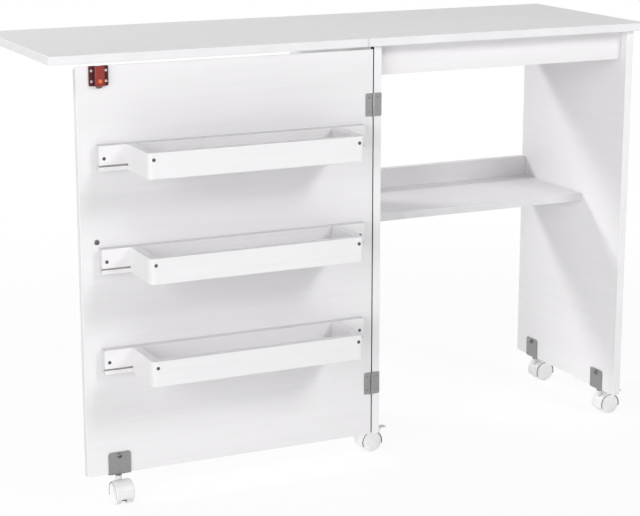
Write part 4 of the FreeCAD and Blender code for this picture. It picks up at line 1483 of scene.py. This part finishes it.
@dataclass
class CasterSet:
    """Five casters with their brackets and stems."""

    casters: tuple[tuple[Caster, HoldsTo], ...] = (
        (Caster("left_front", 0.0, True), HoldsTo.LEFT_PANEL),
        (Caster("left_rear", 0.0), HoldsTo.LEFT_PANEL),
        (Caster("right_front", 0.0, True), HoldsTo.RIGHT_PANEL),
        (Caster("right_rear", 0.0), HoldsTo.RIGHT_PANEL),
        (Caster("door", -90.0), HoldsTo.DOOR))
    ease: float = 0.35

    def build_brackets(self, name: str, node: str, body: str) -> None:
        """Build the brackets of one body as one piece.

        Args:
            name: Name of the piece.
            node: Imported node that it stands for.
            body: Body that it rides on, the door or the cabinet.
        """
        form = Form(ZINC)
        for caster, holds_to in self.casters:
            if (holds_to is HoldsTo.DOOR) == (body == "door"):
                CasterBracket(caster.stem(), holds_to).draw(form)
        form.piece(name, body, [node], self.ease)

    def build(self) -> None:
        """Build the brackets, the stems and every caster."""
        self.build_brackets("cabinet_bent_brackets", "cabinet_caster_brackets", "cabinet")
        self.build_brackets("door_bent_bracket", "door_caster_bracket", "door")
        eased_copy("cabinet_caster_stems", "cabinet_stem_nuts", "cabinet", DARK_ZINC, self.ease)
        eased_copy("door_caster_stem", "door_stem_nut", "door", DARK_ZINC, self.ease)
        for caster, _ in self.casters:
            caster.build()


@dataclass
class LeafLock:
    """Surface lock at the top of the door: housing, sliding bolt and push button."""

    width: float = 34.0
    height: float = 34.0
    base: float = 2.5
    depth: float = 10.0
    housing: float = 17.5
    housing_round: float = 2.6
    round_steps: int = 5
    corner_cut: float = 1.4
    channel_half: float = 5.8
    channel_depth: float = 5.5
    red_depth: float = 1.4
    button_radius: float = 3.65
    button_gap: float = 0.3
    button_sides: int = 40
    bore_ends: Flat = (-4.0, 8.0)
    spout: float = 1.2
    tail_taper: float = 1.6
    tail_length: float = 3.6
    nose_taper: float = 0.8
    nose_length: float = 1.2
    bolt_ease: float = 0.5

    def place(self) -> Matrix:
        """Frame at the foot of the lock's middle, on the face of the door."""
        low, high = node_box("lock_housing")
        return Matrix.Translation(((low.x + high.x) / 2, high.y, low.z))

    def section(self, flange: float, half: float, depth: float) -> list[Flat]:
        """Cross-section of the lock, seen from above.

        Args:
            flange: Half width of the base.
            half: Half width of the housing.
            depth: How far the housing stands out.

        Returns:
            Corners in the XY plane, with the channel of the bolt.
        """
        r = self.housing_round
        curve = arc((half - r, -depth + r), r, 0.0, -90.0, self.round_steps)
        right = [(self.channel_half, -self.channel_depth), (self.channel_half, 0.0), (flange, 0.0),
                 (flange, -self.base), (half, -self.base), *curve]
        return right + [(-x, y) for x, y in reversed(right)]

    def draw_housing(self, form: Form) -> None:
        """Add the base and the raised housing to a form, red in front and dark maroon elsewhere, the
        housing's sides dark as painted shade.

        Args:
            form: Form that takes the shape.
        """
        place = self.place()
        flange, half, depth, top = self.width / 2, self.housing / 2, self.depth, self.height
        # Each row has its height, the half width of the base and of the housing, and the depth.
        rows = ((-self.spout, half - 2.9, half - 3.0, depth - 3.6),
                (-0.05, half - 1.4, half - 1.5, depth - 2.0),
                (0.0, flange - self.corner_cut, half - 0.7, depth - 1.4),
                (0.5, flange - 0.5, half, depth - 0.5),
                (self.corner_cut, flange, half, depth),
                (top - 1.0, flange, half, depth),
                (top - 0.4, flange - 0.4, half, depth - 0.4),
                (top, flange - 1.2, half - 0.4, depth - 1.0))
        rings = [[place @ Vector((x, y, z)) for x, y in self.section(*sizes)] for z, *sizes in rows]
        outline = self.section(flange, half, depth)
        # Only the front of the housing is red; its sides take the base's dark maroon as painted shade.
        skins = [LOCK_RED if (a[1] + b[1]) / 2 < self.red_depth - depth else LOCK_MAROON_AND_SIDE_SHADE
                 for a, b in zip(outline, outline[1:] + outline[:1])]
        form.loft(rings, skins)

    def build_housing(self) -> None:
        """Build the housing and bore it for the button."""
        form = Form(LOCK_MAROON_AND_SIDE_SHADE)
        self.draw_housing(form)
        piece = form.piece("lock_case", "door", ["lock_housing"])
        bore = Form(LOCK_RED)
        radius, (front, back) = self.button_radius + self.button_gap, self.bore_ends
        profile = [(0.0, front), (radius, front), (radius, back), (0.0, back)]
        bore.lathe(profile, front_frame("lock_button"), self.button_sides)
        self.cut(piece, bore.mesh("lock_bore"))

    def cut(self, piece: bpy.types.Object, cutter: bpy.types.Mesh) -> None:
        """Cut a closed mesh out of a piece for good.

        Args:
            piece: Piece that is cut.
            cutter: Mesh that is cut away.
        """
        tool = placed(cutter.name, cutter)
        bore = piece.modifiers.new("bore", "BOOLEAN")
        bore.operation, bore.solver, bore.object = "DIFFERENCE", "EXACT", tool
        piece.data = applied(piece, piece.name)
        piece.data.set_sharp_from_angle(angle=SHARP_ANGLE)
        bpy.data.objects.remove(tool)

    def build_button(self) -> None:
        """Build the push button with a dished face and a rounded rim."""
        low, high = node_box("lock_button")
        r, back = self.button_radius, high.y - low.y
        profile = [(0.0, 0.35), (r * 0.45, 0.28), (r * 0.68, 0.05), (r - 0.75, 0.0), (r - 0.3, 0.15),
                   (r - 0.06, 0.5), (r, 1.0), (r, back), (0.0, back)]
        form = Form(BUTTON_ORANGE)
        form.lathe(profile, front_frame("lock_button"), self.button_sides)
        form.piece("lock_push_button", "lock_button", ["lock_button"])

    def build_bolt(self) -> None:
        """Build the flat bolt with its tapered tail."""
        low, high = node_box("lock_bolt")
        middle, half = (low.x + high.x) / 2, (high.x - low.x) / 2
        rows = ((low.z, self.tail_taper), (low.z + self.tail_length, 0.0),
                (high.z - self.nose_length, 0.0), (high.z, self.nose_taper))
        rings = []
        for z, trim in rows:
            left, right, front = middle - (half - trim), middle + (half - trim), low.y + trim / 2
            corners = ((left, front), (right, front), (right, high.y), (left, high.y))
            rings.append([Vector((x, y, z)) for x, y in corners])
        form = Form(DARK_ZINC)
        form.loft(rings)
        form.piece("lock_sliding_bolt", "lock_bolt", ["lock_bolt"], self.bolt_ease)

    def build(self) -> None:
        """Build the three pieces of the lock and dress its strike."""
        self.build_housing()
        self.build_button()
        self.build_bolt()
        PlainNodes(("lock_strike",), ZINC).dress()


@dataclass
class DoorKnob:
    """Turned pull on the outer face of the door, with the bolt that holds it."""

    head_radius: float = 15.0
    neck_radius: float = 7.0
    bolt_head_height: float = 2.2
    sides: int = 64

    def build(self) -> None:
        """Build the knob with a waisted neck and a domed head, and its bolt."""
        low, high = node_box("door_knob")
        n, r, long_ = self.neck_radius, self.head_radius, high.y - low.y
        profile = [(0.0, 0.0), (n - 0.5, 0.0), (n, 0.5), (n - 0.3, 2.5), (n - 0.8, 6.0), (n - 0.2, 9.0),
                   (n + 2.0, 11.2), (r - 2.5, 12.6), (r - 0.8, 13.6), (r, 15.8), (r - 0.3, 18.2),
                   (r - 1.6, 20.6), (r - 4.0, 22.8), (r - 8.0, 24.3), (r - 12.0, long_ - 0.1), (0.0, long_)]
        form = Form(KNOB_WHITE)
        form.lathe(profile, front_frame("door_knob"), self.sides)
        form.piece("door_pull_knob", "door", ["door_knob"])
        bolt = ScrewGroup("knob_through_bolt", ScrewKind.ROUND_HEAD, BLUED_STEEL)
        ScrewSet("knob_bolt", "door", (bolt,), self.bolt_head_height).build()


@dataclass
class Hinges:
    """Leaves of the hinges of the door and of the drop leaf, with their pins."""

    ease: float = 0.22
    leaves: tuple[tuple[str, str], ...] = (
        ("door_hinge_fixed_leaves", "cabinet"), ("door_hinge_moving_leaves", "door"),
        ("leaf_hinge_fixed_plates", "cabinet"), ("leaf_hinge_moving_plates", "leaf"))

    def build(self) -> None:
        """Copy the leaves with rounded edges and dress the pins."""
        for node, body in self.leaves:
            eased_copy(node, f"{node}_eased", body, ZINC, self.ease)
        PlainNodes(("hinge_pins",), ZINC).dress()


@dataclass
class TraySet:
    """Three trays on the door, built from thin boards."""

    names: tuple[str, ...] = ("lower", "middle", "upper")

    def dress(self) -> None:
        """Dress the rails, fronts, ends and bottoms of the trays."""
        for name in self.names:
            # Rail edges and grooves, tray end boards and the edges of fronts, ends and bottoms wear darker
            # copies of the white finishes as painted shade.
            Boards((f"{name}_tray_back_rail",), Axis.DEPTHWAYS, edge=END_EDGE_SHADED, core=GROOVE_CORE_SHADED).dress()
            Boards((f"{name}_tray_front_board",), Axis.DEPTHWAYS, edge=SHADED_EDGE).dress()
            Boards((f"{name}_tray_end_boards",), Axis.SIDEWAYS, TRAY_END_SHADED, SHADED_EDGE).dress()
            Boards((f"{name}_tray_bottom",), Axis.UPRIGHT, edge=SHADED_EDGE).dress()


@dataclass
class Lamp:
    """Soft square lamp that shines at the middle of the table."""

    name: str
    azimuth: float
    elevation: float
    distance: float
    side: float
    level: float
    aim: tuple[float, float, float] = (0.0, 0.0, 0.45)

    def light(self) -> None:
        """Add the lamp; its level is the share of white it gives a face that looks at it."""
        data = bpy.data.lights.new(self.name, "AREA")
        data.shape, data.size = "SQUARE", self.side
        data.energy = self.level * math.pi ** 2 * self.distance ** 2
        lamp = placed(self.name, data)
        a, e = math.radians(self.azimuth), math.radians(self.elevation)
        away = Vector((math.sin(a) * math.cos(e), -math.cos(a) * math.cos(e), math.sin(e)))
        lamp.location = Vector(self.aim) + away * self.distance
        lamp.rotation_mode = "QUATERNION"
        lamp.rotation_quaternion = away.to_track_quat("Z", "Y")
        lamp.visible_camera = False


@dataclass
class Studio:
    """White studio with a pale floor, soft lamps and the camera."""

    ambient: float = 0.27
    floor_shade: float = 0.96
    floor_white: float = 0.90
    floor_fade: Flat = (0.9, 2.2)
    floor_side: float = 60.0
    lamps: tuple[Lamp, ...] = (
        Lamp("key_lamp", azimuth=26.6, elevation=33.0, distance=3.2, side=0.85, level=0.35),
        Lamp("left_fill", azimuth=-55.0, elevation=6.0, distance=4.0, side=2.6, level=0.62),
        Lamp("right_fill", azimuth=84.0, elevation=6.0, distance=4.0, side=2.0, level=0.16),
        Lamp("back_lamp", azimuth=-138.0, elevation=33.0, distance=4.0, side=0.7, level=0.47))
    camera_place: tuple[float, float, float] = (-1.4933, -3.0837, 1.1927)
    camera_yaw: float = 25.21
    camera_pitch: float = 13.61
    camera_lens: float = 104.3
    camera_sensor: float = 36.0

    def build_world(self) -> None:
        """Make a world that lights softly and shows white behind the table."""
        world = bpy.data.worlds.new("studio_air")
        bpy.context.scene.world = world
        world.use_nodes = True
        graph = NodeGraph(world.node_tree)
        soft, white = [graph.made("ShaderNodeBackground", {"Color": PURE_WHITE, "Strength": strength})
                       for strength in (self.ambient, 1.0)]
        mixed = graph.made("ShaderNodeMixShader", {"Fac": self.seen(graph), 1: soft, 2: white})
        graph.end("ShaderNodeOutputWorld", mixed)

    def seen(self, graph: NodeGraph) -> Socket:
        """Make a value that is one for rays that see the background.

        Args:
            graph: Tree that takes the nodes.

        Returns:
            Socket with the value.
        """
        path = graph.node("ShaderNodeLightPath")
        value = path.outputs["Is Camera Ray"]
        for key in ("Is Glossy Ray", "Is Transmission Ray"):
            value = graph.math("MAXIMUM", value, path.outputs[key])
        return value

    def whitened(self, graph: NodeGraph) -> Socket:
        """Make a value that rises to one away from the table.

        Args:
            graph: Tree that takes the nodes.

        Returns:
            Socket with the value.
        """
        place = graph.made("ShaderNodeTexCoord", {}, "Object")
        away = graph.made("ShaderNodeVectorMath", {0: place}, "Value", operation="LENGTH")
        near, far = self.floor_fade
        ends = {"From Min": near, "From Max": far, "To Min": self.floor_white, "To Max": 1.0}
        return graph.made("ShaderNodeMapRange", {"Value": away, **ends}, "Result",
                          interpolation_type="SMOOTHSTEP")

    def floor_material(self) -> bpy.types.Material:
        """Make a pale floor that shows white and keeps the shadow of the table.

        Returns:
            The material.
        """
        material = bpy.data.materials.new("pale_floor")
        material.use_nodes = True
        graph = NodeGraph(material.node_tree)
        matt = graph.made("ShaderNodeBsdfDiffuse", {"Color": opaque(even(self.floor_shade))})
        glow = graph.made("ShaderNodeEmission", {})
        share = graph.math("MULTIPLY", self.seen(graph), self.whitened(graph))
        mixed = graph.made("ShaderNodeMixShader", {"Fac": share, 1: matt, 2: glow})
        graph.end("ShaderNodeOutputMaterial", mixed)
        return material

    def build_floor(self) -> None:
        """Lay the floor under the table."""
        half = self.floor_side / 2
        mesh = bpy.data.meshes.new("studio_floor")
        corners = [(-half, -half, 0), (half, -half, 0), (half, half, 0), (-half, half, 0)]
        mesh.from_pydata(corners, [], [(0, 1, 2, 3)])
        mesh.materials.append(self.floor_material())
        placed("studio_floor", mesh)

    def build_camera(self) -> None:
        """Stand the camera where the photograph was taken from."""
        data = bpy.data.cameras.new("camera")
        data.lens, data.sensor_width, data.sensor_fit = self.camera_lens, self.camera_sensor, "HORIZONTAL"
        camera = placed("camera", data)
        camera.location = self.camera_place
        camera.rotation_euler = (math.radians(90.0 - self.camera_pitch), 0.0, math.radians(-self.camera_yaw))
        bpy.context.scene.camera = camera

    def build(self) -> None:
        """Set up the whole studio."""
        bpy.context.scene.view_settings.view_transform = "Standard"
        self.build_world()
        self.build_floor()
        for lamp in self.lamps:
            lamp.light()
        self.build_camera()


def dress_boards() -> None:
    """Dress the tops, the cabinet, the door and the trays."""
    # The side ends of both tops, and below those of the door, wear the darker end band as painted shade.
    Boards(("fixed_top", "drop_leaf"), Axis.UPRIGHT, TOP_FACE, TOP_EDGE, END_EDGE_SHADED).dress()
    Boards(("left_side_panel", "right_side_panel"), Axis.SIDEWAYS, PANEL_FACE).dress()
    Boards(("front_apron", "rear_apron", "shelf_back_rail"), Axis.DEPTHWAYS).dress()
    Boards(("door_panel",), Axis.DEPTHWAYS, ends=END_EDGE_SHADED).dress()
    # The shelf's edges wear the darker band as painted shade.
    Boards(("shelf",), Axis.UPRIGHT, edge=SHADED_EDGE).dress()
    # The strip in the door's gap is near-black as painted shade.
    PlainNodes(("door_gap_strip",), GAP_STRIP_SHADE).dress()
    TraySet().dress()
    PlainNodes(("top_dowels",), DOWEL_BIRCH).dress()


def build_screws() -> None:
    """Drive every screw of the boards, hinges, brackets and lock."""
    sets = (
        ScrewSet("cabinet_screws", "cabinet", (
            ScrewGroup("cabinet_board_screws", ScrewKind.BOARD, BLUED_STEEL),)),
        ScrewSet("cabinet_hardware_screws", "cabinet", (
            ScrewGroup("cabinet_hinge_screws", ScrewKind.FITTING, ZINC),
            ScrewGroup("cabinet_bracket_bolts", ScrewKind.ROUND_HEAD, DARK_ZINC))),
        ScrewSet("tray_screws", "door", (
            ScrewGroup("tray_board_screws", ScrewKind.BOARD, BLUED_STEEL),)),
        ScrewSet("door_hardware_screws", "door", (
            ScrewGroup("door_hinge_screws", ScrewKind.FITTING, ZINC),
            ScrewGroup("lock_screws", ScrewKind.LOCK, NICKEL, proud=0.4),
            ScrewGroup("door_bracket_bolt", ScrewKind.ROUND_HEAD, DARK_ZINC))),
        ScrewSet("leaf_screws", "leaf", (
            ScrewGroup("leaf_fitting_screws", ScrewKind.FITTING, ZINC),)))
    for screws in sets:
        screws.build()


def main() -> None:
    """Build the looks of the whole table."""
    logging.basicConfig(level=logging.INFO, format="%(message)s")
    dress_boards()
    Hinges().build()
    LeafLock().build()
    DoorKnob().build()
    CasterSet().build()
    build_screws()
    Studio().build()


if __name__ == "__main__":
    main()
